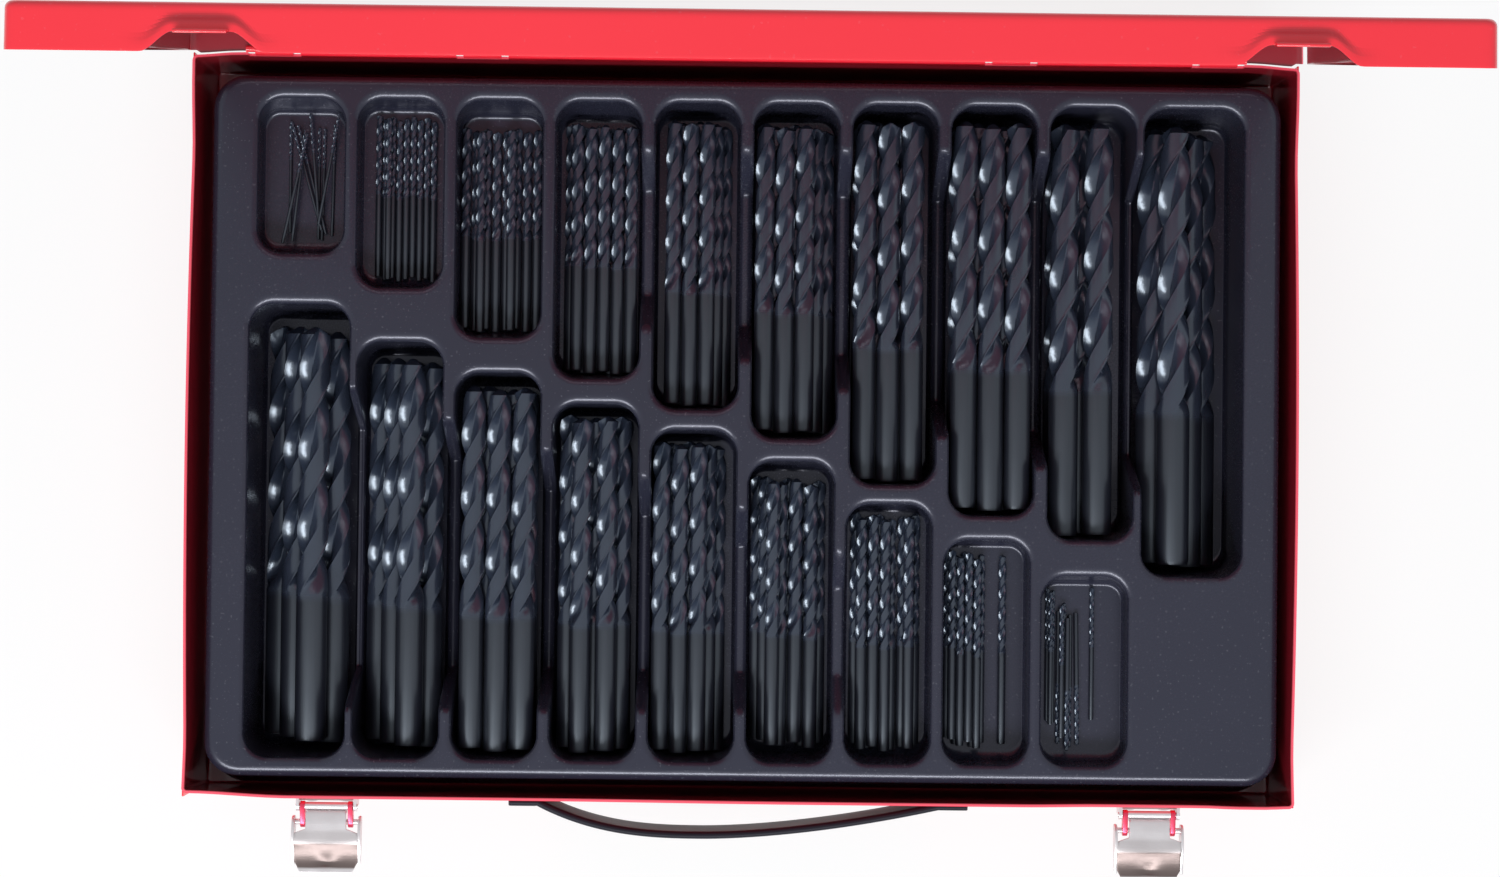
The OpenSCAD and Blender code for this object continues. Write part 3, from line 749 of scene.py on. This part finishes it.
def make_hasp(side, which):
    flange = [(HASP_PIN[0] + out, HASP_PIN[1] + up) for out, up in HASP_FLANGE]
    parts = [hasp_sheet(side)]
    parts += [plate("hasp_flange", side, flange, s * FLANGE_IN, s * FLANGE_OUT, NICKEL) for s in (-1, 1)]
    settle_on(join(f"hasp_{which}", parts), f"hasp_{which}", "nickel", f"latch_{which}_hasp")


def make_link(side, which):
    """Two side arms, and the barrel between them round the link pin."""
    aim = math.degrees(math.atan2(HASP_PIN[1] - LINK_PIN[1], HASP_PIN[0] - LINK_PIN[0]))
    outline = arc(*LINK_PIN, 1.5, aim + 90, aim + 270, 10) + arc(*HASP_PIN, 1.65, aim - 90, aim + 90, 10)
    # painted reflection: the arms are coloured with the red wall's reflection in their nickel
    arms = [plate("arm", side, outline, s * ARM_IN, s * ARM_OUT, PAINTED_RED_REFLECTION_NICKEL) for s in (-1, 1)]
    settle_on(rod(f"barrel_{which}", side, LINK_PIN, 1.2, 6.7, 0.2, 0.8), f"link_{which}", "nickel")
    settle_on(join(f"link_{which}", arms), f"link_{which}", "nickel", f"latch_{which}_link")


def make_hasp_pin(side, which):
    """The pin's ends stand 0.15 mm out of the hasp's flanges and narrow there."""
    pin = rod(f"hasp_pin_{which}", side, HASP_PIN, 0.85, FLANGE_OUT + 0.15, 0.15, 0.6)
    settle_on(pin, f"hasp_{which}", "nickel", f"latch_{which}_hasp_pin")


def scatter_tree(name, *inputs):
    """A node group that puts instances on a mesh's points and gives them a material. Gives the group,
    its inputs' identifiers, its input node and the node that takes the instance."""
    tree = bpy.data.node_groups.new(name, "GeometryNodeTree")
    face, new, link = tree.interface, tree.nodes.new, tree.links.new
    face.new_socket("Geometry", in_out="INPUT", socket_type="NodeSocketGeometry")
    keys = [face.new_socket(label, in_out="INPUT", socket_type="NodeSocket" + kind).identifier
            for label, kind in (*inputs, ("Finish", "Material"))]
    face.new_socket("Geometry", in_out="OUTPUT", socket_type="NodeSocketGeometry")
    start, spots = new("NodeGroupInput"), new("GeometryNodeInstanceOnPoints")
    real, paint = new("GeometryNodeRealizeInstances"), new("GeometryNodeSetMaterial")
    end = new("NodeGroupOutput")
    for first, second in ((start, spots), (spots, real), (real, paint), (paint, end)):
        link(first.outputs[0], second.inputs[0])
    link(start.outputs["Finish"], paint.inputs["Material"])
    return tree, keys, start, spots


def rivet_tree():
    """Domed heads on the points of a mesh: each head faces along -Y."""
    tree, keys, start, spots = scatter_tree("rivet_heads", ("Head radius", "Float"),
                                            ("Head height", "Float"))
    new, link = tree.nodes.new, tree.links.new
    ball, scale = new("GeometryNodeMeshUVSphere"), new("ShaderNodeCombineXYZ")
    smooth = new("GeometryNodeSetShadeSmooth")
    for label, value in (("Segments", 24), ("Rings", 12), ("Radius", 1.0)):
        ball.inputs[label].default_value = value
    for axis, label in (("X", "Head radius"), ("Y", "Head height"), ("Z", "Head radius")):
        link(start.outputs[label], scale.inputs[axis])
    link(ball.outputs["Mesh"], smooth.inputs[0])
    link(smooth.outputs[0], spots.inputs["Instance"])
    link(scale.outputs[0], spots.inputs["Scale"])
    return tree, keys


def grow(name, tree, points, inputs, layers=None):
    """Runs a node tree on loose points and keeps the result as a plain mesh."""
    mesh = bpy.data.meshes.new(name)
    mesh.from_pydata([Vector(p) * MM for p in points], [], [])
    for layer, values in (layers or {}).items():
        data = mesh.attributes.new(layer, "FLOAT_VECTOR", "POINT").data
        for slot, value in zip(data, values):
            slot.vector = value
    made = bpy.data.objects.new(name, mesh)
    bpy.context.scene.collection.objects.link(made)
    grower = made.modifiers.new("grow", "NODES")
    grower.node_group = tree
    for key, value in inputs.items():
        grower[key] = value
    return settle(made)


def grow_heads(name, spots, radius, height, material):
    tree, keys = rivet_tree()
    return grow(name, tree, spots, dict(zip(keys, (radius * MM, height * MM, material))))


def make_latches():
    for side, which in SIDES:
        make_hasp(side, which)
        make_link(side, which)
        dress(f"latch_{which}_bracket", NICKEL)
        dress(f"latch_{which}_link_pin", STEEL)
        make_hasp_pin(side, which)
    for side, which in SIDES:
        spots = at_latch(side, [(x, 0.9, -8.6) for x in (-5.2, 5.2)])
        heads = grow_heads(f"rivets_{which}", spots, 2.1, 0.85, NICKEL)
        settle_on(heads, "base", "nickel", f"latch_{which}_rivets")


# --- Handle ---

STUD_X, STRAP_Z, STRAP_H, STRAP_T = 63.5, 19.0, 20.0, 2.3
STRAP_END, STRAP_ROUND = 69.0, 0.4


def strap_off(x):
    """How far the strap's inner face stands off the wall at x."""
    bow_x, crest = STUD_X - 3.6, -11.0
    if x < crest:
        bow = 1 - (1 - max(0.0, (x + bow_x) / (crest + bow_x))) ** 2.7
    else:
        bow = 1 - (1 - max(0.0, (bow_x - x) / (bow_x - crest))) ** 1.7
    return 0.4 + 9.3 * bow


def strap_section():
    """Outline of the strap, (through, up): ribbed on the outer face, plain with round edges inside."""
    half, out = STRAP_H / 2, []
    steps = 36
    for i in range(steps + 1):
        up = -half + 0.7 + (STRAP_H - 1.4) * i / steps
        rib = 0.22 * abs(math.sin(math.pi * 6 * i / steps)) ** 0.6
        out.append((STRAP_T - 0.28 + rib, up))
    edge = [(STRAP_T - 0.5, half - 0.2), (STRAP_T - 1.0, half), (0.9, half), (0.3, half - 0.25),
            (0.0, half - 0.9), (0.12, half - 4)]
    return out + edge + [(0.12, 0)] + [(through, -up) for through, up in reversed(edge)]


def make_strap():
    """The section swept along the bow, square to it, and a little smaller at both ends."""
    section = strap_section()
    straight = [-68 + i * 1.36 for i in range(101)]
    stops = [-STRAP_END, STRAP_ROUND - STRAP_END] + straight + [STRAP_END - STRAP_ROUND, STRAP_END]
    points, rows = [], []
    dx = 0.2
    for x in stops:
        slope = (strap_off(x + dx) - strap_off(x - dx)) / (2 * dx)
        length = math.hypot(1, slope)
        squeeze = 0.93 if abs(x) == STRAP_END else 1.0
        rows.append((len(points), len(section)))
        for through, up in section:
            t = STRAP_T / 2 + (through - STRAP_T / 2) * squeeze
            points.append((x - t * slope / length, -BASE_D / 2 - strap_off(x) - t / length,
                           STRAP_Z + up * squeeze))
    settle_on(piece("strap", points, capped(rows), RUBBER, 55), "base", "strap_plastic", "handle_strap")


def make_handle():
    make_strap()
    low, high = (Vector(corner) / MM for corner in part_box("handle_studs"))
    spots = [(x, low.y + 1.0, STRAP_Z) for x in (-STUD_X, STUD_X)]
    studs = grow_heads("stud_heads", spots, high.x - STUD_X, 1.0, STUD)
    settle_on(studs, "base", "stud_black", "handle_studs")


# --- Tray ---

TRAY_TOP, TRAY_FOOT, TRAY_X, TRAY_HALF_W, TRAY_HALF_D, TRAY_CORNER = 34.5, 1.0, 0.6, 160.5, 105.0, 10
EDGE_LIP, POCKET_LIP = 3.2, 1.75
POCKET_W, WIDE_W, WIDE_SHIFT, PITCH_BACK, PITCH_FRONT = 25.6, 30.0, 0.8, 29.7, 29.4
BACK_ROW_Y, FRONT_ROW_Y = 99.0, -99.8
# pairs of neighbouring pockets, by the first's number, with a lowered divider between them
LOW_DIVIDERS = [*range(3, 9), *range(10, 16)]
RAMP, BEND = 11.0, 0.16
RAMP_STOPS = (-2.4, -1.6, -0.9, -0.2, 0.5, 1.2, 1.9, 3.5, 5.5, 7.5, 9.2, 9.9, 10.4, 10.9, 11.4, 11.9, 12.6)
# free is how much longer the pocket is than the drill, and before is the space at the points' end
Size = namedtuple("Size", "diameter length flute free before depth shift half_pitch")
BACK_ROW = [Size(*row) for row in [
    (1, 34, 12, 14, 6.5, 10, 0, 0.55), (2, 49, 24, 9, 4.5, 11, 0.9, 1.04),
    (3, 61, 33, 11.5, 7.6, 14, 0, 1.55), (4, 75, 43, 9.5, 6, 17, -0.5, 2.05),
    (5, 86, 52, 7.5, 4.5, 22, 0.5, 2.55), (6, 93, 57, 9, 5, 24, 0, 3.05),
    (7, 109, 69, 6.4, 3.8, 32.5, -1.2, 3.6), (8, 117, 75, 7.4, 4, 32.5, 0, 4.06),
    (9, 125, 81, 6.4, 3.6, 30, -2.1, 5.2), (10, 133, 87, 9, 4, 32.5, 0.65, 5.15),
]]
FRONT_ROW = [Size(*row) for row in [
    (9.5, 125, 81, 12, 6, 32.5, -2.4, 5.7), (8.5, 117, 75, 9, 4.5, 30, -2.4, 5.2),
    (7.5, 109, 69, 8, 4, 32.5, 0, 3.82), (6.5, 101, 63, 7, 3.4, 30, -0.5, 3.9),
    (5.5, 93, 57, 7.5, 3.6, 24, -1.2, 2.8), (4.5, 80, 47, 11.5, 5, 21, -0.5, 2.32),
    (3.5, 70, 39, 9, 3.2, 15, -0.5, 1.8), (2.5, 57, 30, 11.5, 3.6, 12, 0.5, 1.28),
    (1.5, 40, 18, 18, 4.6, 10, 0, 0.8),
]]


class Pocket:
    """One pocket of the tray and the size of drill in it."""

    def __init__(self, x, back, size):
        self.x, self.back, self.size = x, back, size
        self.half = (WIDE_W if size.diameter > 9 else POCKET_W) / 2
        self.front = back - size.length - size.free
        self.floor = TRAY_TOP - size.depth
        self.saddles = {}


def lay_out():
    """The pockets from left to right, the back row first, with their lowered dividers."""
    pockets = []
    for i, size in enumerate(BACK_ROW):
        x = TRAY_X - 4.5 * PITCH_BACK - 0.15 + i * PITCH_BACK
        pockets.append(Pocket(x + WIDE_SHIFT * (size.diameter > 9), BACK_ROW_Y, size))
    for i, size in enumerate(FRONT_ROW):
        x = TRAY_X - 4.5 * PITCH_FRONT - 0.5 + i * PITCH_FRONT
        back = FRONT_ROW_Y + size.length + size.free
        pockets.append(Pocket(x - WIDE_SHIFT * (size.diameter > 9), back, size))
    for i in LOW_DIVIDERS:
        p, q = pockets[i], pockets[i + 1]
        y0 = max(p.front, q.front) + 15.5
        y1 = min(p.back, q.back) - 15.5
        p.saddles["right"] = q.saddles["left"] = (y0, y1, max(p.floor, q.floor) + 5)
    return pockets


def saddle_height(saddle, y):
    """Height of a lowered divider at y: straight ramps with rounded bends."""
    if saddle is None:
        return TRAY_TOP
    y0, y1, level = saddle
    drop = TRAY_TOP - level
    t = min((y - y0), (y1 - y)) / RAMP
    if t <= -BEND:
        return TRAY_TOP
    if t < BEND:
        return TRAY_TOP - drop * (t + BEND) ** 2 / (4 * BEND)
    if t < 1 - BEND / 2:
        return TRAY_TOP - drop * t
    if t < 1 + BEND / 2:
        u = t - (1 - BEND / 2)
        return TRAY_TOP - drop * (1 - BEND / 2 + u - u * u / (2 * BEND))
    return level


def side_stops(pocket, side):
    """Stops along a pocket's side wall, close together at the bends of a lowered divider."""
    y_low, y_high = pocket.front + 6, pocket.back - 6
    stops = [y_low + (y_high - y_low) * i / 5 for i in range(6)]
    if side in pocket.saddles:
        y0, y1, _ = pocket.saddles[side]
        ramps = [y0 + d for d in RAMP_STOPS] + [y1 - d for d in RAMP_STOPS]
        stops = [s for s in stops if all(abs(s - e) > 1.2 for e in ramps)] + ramps
    return sorted(s for s in stops if y_low <= s <= y_high)


def pocket_ring(pocket, grow_x, grow_y0, grow_y1, r, stops):
    """Round the pocket anticlockwise from the front left corner; grow is how far past the wall.
    Gives (x, y, height of the sheet's top there)."""
    hx = pocket.half + grow_x
    y0, y1 = pocket.front - grow_y0, pocket.back + grow_y1
    across = [pocket.x - hx + r + (2 * hx - 2 * r) * t for t in (0, 0.25, 0.5, 0.75, 1)]
    ring = []

    def corner(cx, cy, start):
        for i in range(8):
            a = math.radians(start + 90 * (i + 0.5) / 8)
            ring.append((cx + r * math.cos(a), cy + r * math.sin(a), TRAY_TOP))

    def side(x, which):
        return [(x, y, saddle_height(pocket.saddles.get(which), y)) for y in stops[which]]

    ring += [(x, y0, TRAY_TOP) for x in across]
    corner(pocket.x + hx - r, y0 + r, -90)
    ring += side(pocket.x + hx, "right")
    corner(pocket.x + hx - r, y1 - r, 0)
    ring += [(x, y1, TRAY_TOP) for x in reversed(across)]
    corner(pocket.x - hx + r, y1 - r, 90)
    ring += reversed(side(pocket.x - hx, "left"))
    corner(pocket.x - hx + r, y0 + r, 180)
    return ring


def pocket_rings(pocket):
    """A pocket from its rounded lip over leaning walls and a rounded foot to its floor."""
    depth = pocket.size.depth
    foot = min(3.2, depth * 0.3)
    taper = 1.6 if depth > 12 else 0.8
    slant = max(0.4, min(2.2, pocket.size.before - 3.4) if depth < 20 else 0.8)
    low = pocket.floor + foot
    stops = {side: side_stops(pocket, side) for side in ("left", "right")}
    rings = []

    def wall(lean, foot_x, foot_y):
        return pocket_ring(pocket, 0.12 - 0.12 * lean - foot_x, -0.6 - taper * lean - foot_y,
                           -0.9 - slant * lean - foot_y * 0.7, 7.2 - 1.7 * lean - 0.3 * foot_y, stops)

    for i in range(7):
        a = math.radians(90 * i / 6)
        out, drop = POCKET_LIP * (1 - math.sin(a)), POCKET_LIP * (1 - math.cos(a))
        ring = pocket_ring(pocket, 1.08 * out, 1.4 * out - 0.6, 1.75 * out - 0.9, 7.2 + 1.2 * out, stops)
        rings.append([(x, y, top - drop) for x, y, top in ring])
    for share in (0.25, 0.5, 0.75):
        rings.append([(x, y, top - POCKET_LIP + (low - (top - POCKET_LIP)) * share)
                      for x, y, top in wall(share, 0, 0)])
    for i in range(6):
        a = math.radians(90 * i / 5)
        inset = 1 - math.cos(a)
        rings.append([(x, y, low - foot * math.sin(a)) for x, y, _ in wall(1.0, inset, foot * inset)])
    return rings


def tray_outline(grow, r, stretch=0.0):
    """The tray's outline with round corners. Stretch makes only its depth larger."""
    hx, hy = TRAY_HALF_W + grow, TRAY_HALF_D + grow + stretch
    ring = []
    for sx, sy, start in ((1, -1, -90), (1, 1, 0), (-1, 1, 90), (-1, -1, 180)):
        for i in range(11):
            a = math.radians(start + 90 * i / 10)
            ring.append((TRAY_X + sx * (hx - r) + r * math.cos(a), sy * (hy - r) + r * math.sin(a)))
    dense = []
    for (x0, y0), (x1, y1) in zip(ring, ring[1:] + ring[:1]):
        parts = max(1, int(math.hypot(x1 - x0, y1 - y0) / 12))
        dense += [(x0 + (x1 - x0) * k / parts, y0 + (y1 - y0) * k / parts) for k in range(parts)]
    return dense


def skirt_rings():
    """The tray's rounded outer lip and the skirt down to the floor of the base."""
    rings = []
    for i in range(8):
        a = math.radians(90 * i / 7)
        inset = 1 - math.sin(a)
        ring = tray_outline(-EDGE_LIP * inset, TRAY_CORNER - 0.6 * EDGE_LIP * inset)
        rings.append([(x, y, TRAY_TOP - EDGE_LIP * (1 - math.cos(a))) for x, y in ring])
    for z in (26, 18, 10, TRAY_FOOT):
        flare = (TRAY_TOP - EDGE_LIP - z) / (TRAY_TOP - EDGE_LIP - TRAY_FOOT)
        rings.append([(x, y, z) for x, y in tray_outline(2.3 * flare, TRAY_CORNER, 2.3 * flare)])
    return rings


def within(p, loop):
    """Whether a point lies inside a closed loop."""
    hit = False
    for (x0, y0), (x1, y1) in zip(loop, loop[1:] + loop[:1]):
        if (y0 > p[1]) != (y1 > p[1]) and p[0] < (x1 - x0) * (p[1] - y0) / (y1 - y0) + x0:
            hit = not hit
    return hit


def flat_sheet(points, rims):
    """Faces of the tray's flat top: inside the first rim and outside all the others. Points that
    the triangulation adds go to the end of points."""
    index, edges = [], []
    for rim in rims:
        edges += [(len(index) + i, len(index) + (i + 1) % len(rim)) for i in range(len(rim))]
        index += rim
    corners = [Vector(points[i][:2]) for i in index]
    flat, _, tris, origin, _, _ = delaunay_2d_cdt(corners, edges, [], 0, 1e-5)
    loops = [[points[i][:2] for i in rim] for rim in rims]
    boxes = [(min(x for x, _ in loop), max(x for x, _ in loop), min(y for _, y in loop),
              max(y for _, y in loop)) for loop in loops[1:]]
    lookup = []
    for k, source in enumerate(origin):
        lookup.append(index[source[0]] if source else len(points))
        if not source:
            points.append((flat[k].x, flat[k].y, TRAY_TOP))
    faces = []
    for tri in tris:
        cx = sum(flat[i].x for i in tri) / 3
        cy = sum(flat[i].y for i in tri) / 3
        in_pocket = any(x0 < cx < x1 and y0 < cy < y1 and within((cx, cy), loop)
                        for (x0, x1, y0, y1), loop in zip(boxes, loops[1:]))
        if within((cx, cy), loops[0]) and not in_pocket:
            faces.append(tuple(lookup[i] for i in tri))
    return faces


def make_tray(pockets):
    points, faces, rims = [], [], []
    for number, rings in enumerate([skirt_rings()] + [pocket_rings(pocket) for pocket in pockets]):
        rows = []
        for ring in rings:
            rows.append((len(points), len(ring)))
            points += ring
        faces += bridge(rows) + [row_face(rows[-1])] if number else flipped(bridge(rows))
        rims.append(row_face(rows[0]))
    faces += flat_sheet(points, rims)
    tray = piece("tray_sheet", points, faces, PLASTIC, 70)
    if sum(p.normal.z * p.area for p in tray.data.polygons) < 0:
        tray.data.flip_normals()
    even = tray.modifiers.new("even", "WEIGHTED_NORMAL")
    even.mode, even.weight, even.keep_sharp = "FACE_AREA", 50, True
    settle_on(tray, "tray", "tray_plastic", "tray")


# --- Drills ---

# the flutes' lead in diameters, and half the point's angle
LEAD, POINT = 5.1, math.radians(59)
# half of a twist drill's outline: angle in degrees, share of the radius, 1 on the land
FINE_SECTION = [
    (0, .93, .3), (14, .955, 1), (30, .96, 1), (48, .96, 1), (64, .96, 1), (72, .965, 1),
    (75, 1.0, 1), (81, 1.0, 1), (84, .80, 0), (91, .52, 0), (101, .36, 0), (114, .28, 0),
    (128, .28, 0), (142, .36, 0), (155, .50, 0), (166, .68, 0), (174, .83, 0),
]
PLAIN_SECTION = [
    (0, .93, .3), (24, .96, 1), (50, .96, 1), (71, .965, 1), (76, 1.0, 1), (83, .86, .5),
    (94, .46, 0), (112, .29, 0), (132, .31, 0), (152, .50, 0), (168, .75, 0),
]


def drill_source(size):
    """One drill with its point at the origin, pointing to +Y, as a source mesh."""
    d, length, flute = size.diameter, size.length, size.flute
    r, fine = d / 2, d >= 4.5
    half = FINE_SECTION if fine else PLAIN_SECTION
    section = half + [(a + 180, share, land) for a, share, land in half]
    turn = 360 / (LEAD * d)
    tip = r * 0.85 / math.tan(POINT)
    stride = (LEAD * d) / (26 if fine else 18)
    count = max(4, round((flute - tip) / stride))
    stops = [share * tip for share in (0.04, 0.25, 0.5, 0.75, 1)]
    stops += [tip + (flute - tip) * k / count for k in range(1, count + 1)]
    stops += [flute + 0.25 * d, length - 0.12 * d, length]
    points, rows, lands, shanks = [], [], [], []
    for y in stops:
        rows.append((len(points), len(section)))
        run_out = ease((flute - y) / max(1.15 * d, 3.0)) ** 0.6 if y < flute else 0.0
        for a, share, land in section:
            radius = r * (1 - (1 - share) * run_out) if y < flute else r - 0.04
            if y > length - 0.05 * d:
                radius *= 0.92
            radius = min(radius, 0.12 * r + y * math.tan(POINT))
            angle = math.radians(a - turn * min(y, flute))
            points.append((radius * math.sin(angle), -y, radius * math.cos(angle)))
            lands.append(max(land, 1 - run_out))
            shanks.append(1.0 if y > flute else 0.0)
    source = piece(f"source_{d}".replace(".", "_"), points, capped(rows), OXIDE, 32)
    return tint(tint(source, "land", lands), "shank", shanks)


def pile_tree():
    """Drills on points: each point says how its drill is turned, and a random roll is added."""
    tree, keys, start, spots = scatter_tree("drill_pile", ("Drill", "Object"), ("Seed", "Int"))
    new, link = tree.nodes.new, tree.links.new
    info, lay = new("GeometryNodeObjectInfo"), new("GeometryNodeInputNamedAttribute")
    lay.data_type = "FLOAT_VECTOR"
    lay.inputs["Name"].default_value = "lay"
    spin, roll = new("FunctionNodeRandomValue"), new("ShaderNodeCombineXYZ")
    spin.data_type = "FLOAT"
    spin.inputs[2].default_value, spin.inputs[3].default_value = -1.3, 1.3
    both, turn = new("ShaderNodeVectorMath"), new("FunctionNodeEulerToRotation")
    both.operation = "ADD"
    link(start.outputs["Drill"], info.inputs["Object"])
    link(start.outputs["Seed"], spin.inputs["Seed"])
    link(spin.outputs[1], roll.inputs["Y"])
    link(roll.outputs[0], both.inputs[0])
    link(lay.outputs["Attribute"], both.inputs[1])
    link(both.outputs[0], turn.inputs[0])
    link(info.outputs["Geometry"], spots.inputs["Instance"])
    link(turn.outputs[0], spots.inputs["Rotation"])
    return tree, keys


# each drill's place in its pile: (half pitches across, layer)
TRIO_LEFT = [(-1, 0), (1, 0), (-2, 1), (0, 1), (-1, 2)]
TRIO_RIGHT = [(-1, 0), (1, 0), (0, 1), (2, 1), (1, 2)]
PAIR_ON_TOP = [(-1, 0), (1, 0), (0, 1), (-1, 2), (1, 2)]
THREE_ON_TOP = [(-1, 0), (1, 0), (-2, 1), (0, 1), (2, 1), (-1, 2), (1, 2), (-2, 3), (0, 3), (2, 3)]
TWO_ON_TOP = [(-2, 0), (0, 0), (2, 0), (-1, 1), (1, 1), (-2, 2), (0, 2), (2, 2), (-1, 3), (1, 3)]
FOUR_WIDE = [(-3, 0), (-1, 0), (1, 0), (3, 0), (-2, 1), (0, 1), (2, 1), (-3, 2), (-1, 2), (1, 2)]
FIVE_WIDE = [(c, 0) for c in (-4, -2, 0, 2, 4)] + [(c, 1) for c in (-3, -1, 1, 3, 5)]
FIVE_UNDER_TWO = [(c, 0) for c in (-4, -2, 0, 2, 4)] + [(c, 1) for c in (-3, -1, 1, 3)] + [(-2, 2)]
SIX_WIDE = [(c, 0) for c in (-5, -3, -1, 1, 3, 5)] + [(c, 1) for c in (-4, -2, 0, 4)]
EIGHT_WIDE = [(2 * i - 7, 0) for i in range(8)] + [(-4, 1), (2, 1)]
NINE_WIDE = [(2 * i - 8, 0) for i in range(9)] + [(-5, 1)]
ONE_APART = [(2 * i - 9, 0) for i in range(5)] + [(2 * i - 8, 1) for i in range(4)] + [(4, 0)]
# needles lie loose: (across, along, turn in degrees, layer, 1 if back to front)
NEEDLES_1_0 = [
    (-4.4, 0, 0, 0, 0), (4.2, -2, 0, 0, 0), (5.6, -2.4, -1, 0, 0), (8.6, -1, -1, 0, 0),
    (0.6, 0, 16, 1, 0), (2.2, -1, 15, 1, 0), (-1.6, -3, -6, 2, 0), (3.2, 2, 5, 2, 0),
    (7.6, 2, -10, 3, 0), (-2.6, -4, -12, 3, 0),
]
NEEDLES_1_5 = [
    (-10.2, 0, 0, 0, 0), (-8.6, -0.6, 0, 0, 0), (-6.9, -7, 0, 0, 1), (-5.2, -4.4, 0, 0, 0),
    (-3.4, -8, 0, 0, 1), (-1.3, -7.4, 1, 0, 1), (3.2, 0.4, 0, 0, 0),
    (-9.4, -1, 0, 1, 0), (-6.05, -5, 0, 1, 0), (-4.3, -9, 0, 1, 1),
]
LAYS = [NEEDLES_1_0, NINE_WIDE, EIGHT_WIDE, FIVE_WIDE, FOUR_WIDE, FOUR_WIDE, THREE_ON_TOP, THREE_ON_TOP,
        PAIR_ON_TOP, TRIO_LEFT, TRIO_RIGHT, TRIO_RIGHT, THREE_ON_TOP, TWO_ON_TOP, FOUR_WIDE,
        FIVE_UNDER_TWO, SIX_WIDE, ONE_APART, NEEDLES_1_5]
DRILL_GAP = 0.1


def lay_drills(pocket, lay):
    """Where each drill's point is, and how it is turned in plan."""
    size = pocket.size
    d, half = size.diameter, size.half_pitch
    rise = math.sqrt((d + DRILL_GAP) ** 2 - half ** 2)
    back, low = pocket.back - size.before, pocket.floor + DRILL_GAP + d / 2
    places, turns = [], []
    for i, spot in enumerate(lay):
        if len(spot) == 5:
            across, along, turn, layer, back_to_front = spot
            angle = math.radians(turn + 180 * back_to_front)
            cx, cy = pocket.x + across, back - size.length / 2 + along
            places.append((cx - size.length / 2 * math.sin(angle), cy + size.length / 2 * math.cos(angle),
                           low + layer * (d + DRILL_GAP)))
            turns.append((0, 0, angle))
        else:
            column, layer = spot
            slip = 0.4 * (size.free - size.before) * (i * 0.618 % 1)
            places.append((pocket.x + size.shift + column * half, back - slip, low + layer * rise))
            turns.append((0, 0, 0))
    return places, turns


def make_drills(pockets):
    tree, keys = pile_tree()
    for number, (pocket, lay) in enumerate(zip(pockets, LAYS)):
        node = f"drills_{float(pocket.size.diameter)}".replace(".", "_")
        source = drill_source(pocket.size)
        places, turns = lay_drills(pocket, lay)
        inputs = dict(zip(keys, (source, 11 + number, OXIDE)))
        pile = grow(node.replace("drills", "pile"), tree, places, inputs, {"lay": turns})
        bpy.data.objects.remove(source)
        settle_on(pile, node, "black_oxide", node)


# --- Everything ---

FLOOR_REACH, FLOOR_Z = 4000, -0.4


def set_the_stage():
    """A world that is white to the camera and pale blue to the case, and a floor under it."""
    scene = bpy.context.scene
    scene.view_settings.view_transform = "Standard"
    world = bpy.data.worlds.new("studio") if scene.world is None else scene.world
    scene.world = world
    world.use_nodes = True
    nodes, links = world.node_tree.nodes, world.node_tree.links
    nodes.clear()
    out = nodes.new("ShaderNodeOutputWorld")
    mixed = nodes.new("ShaderNodeMixShader")
    rays = nodes.new("ShaderNodeLightPath")
    links.new(rays.outputs["Is Camera Ray"], mixed.inputs[0])
    for place, colour, strength in ((1, (0.93, 0.96, 1, 1), 0.56), (2, (1, 1, 1, 1), 1.0)):
        sky = nodes.new("ShaderNodeBackground")
        sky.inputs["Color"].default_value = colour
        sky.inputs["Strength"].default_value = strength
        links.new(sky.outputs[0], mixed.inputs[place])
    links.new(mixed.outputs[0], out.inputs[0])
    corners = [(x * FLOOR_REACH, y * FLOOR_REACH, FLOOR_Z) for x, y in ((-1, -1), (1, -1), (1, 1), (-1, 1))]
    floor = piece("floor", corners, [(0, 1, 2, 3)], pale_floor(), tidy=False)


aim_camera()
light_studio()
set_the_stage()
make_lid()
make_base()
make_latches()
make_handle()
pockets = lay_out()
make_tray(pockets)
make_drills(pockets)
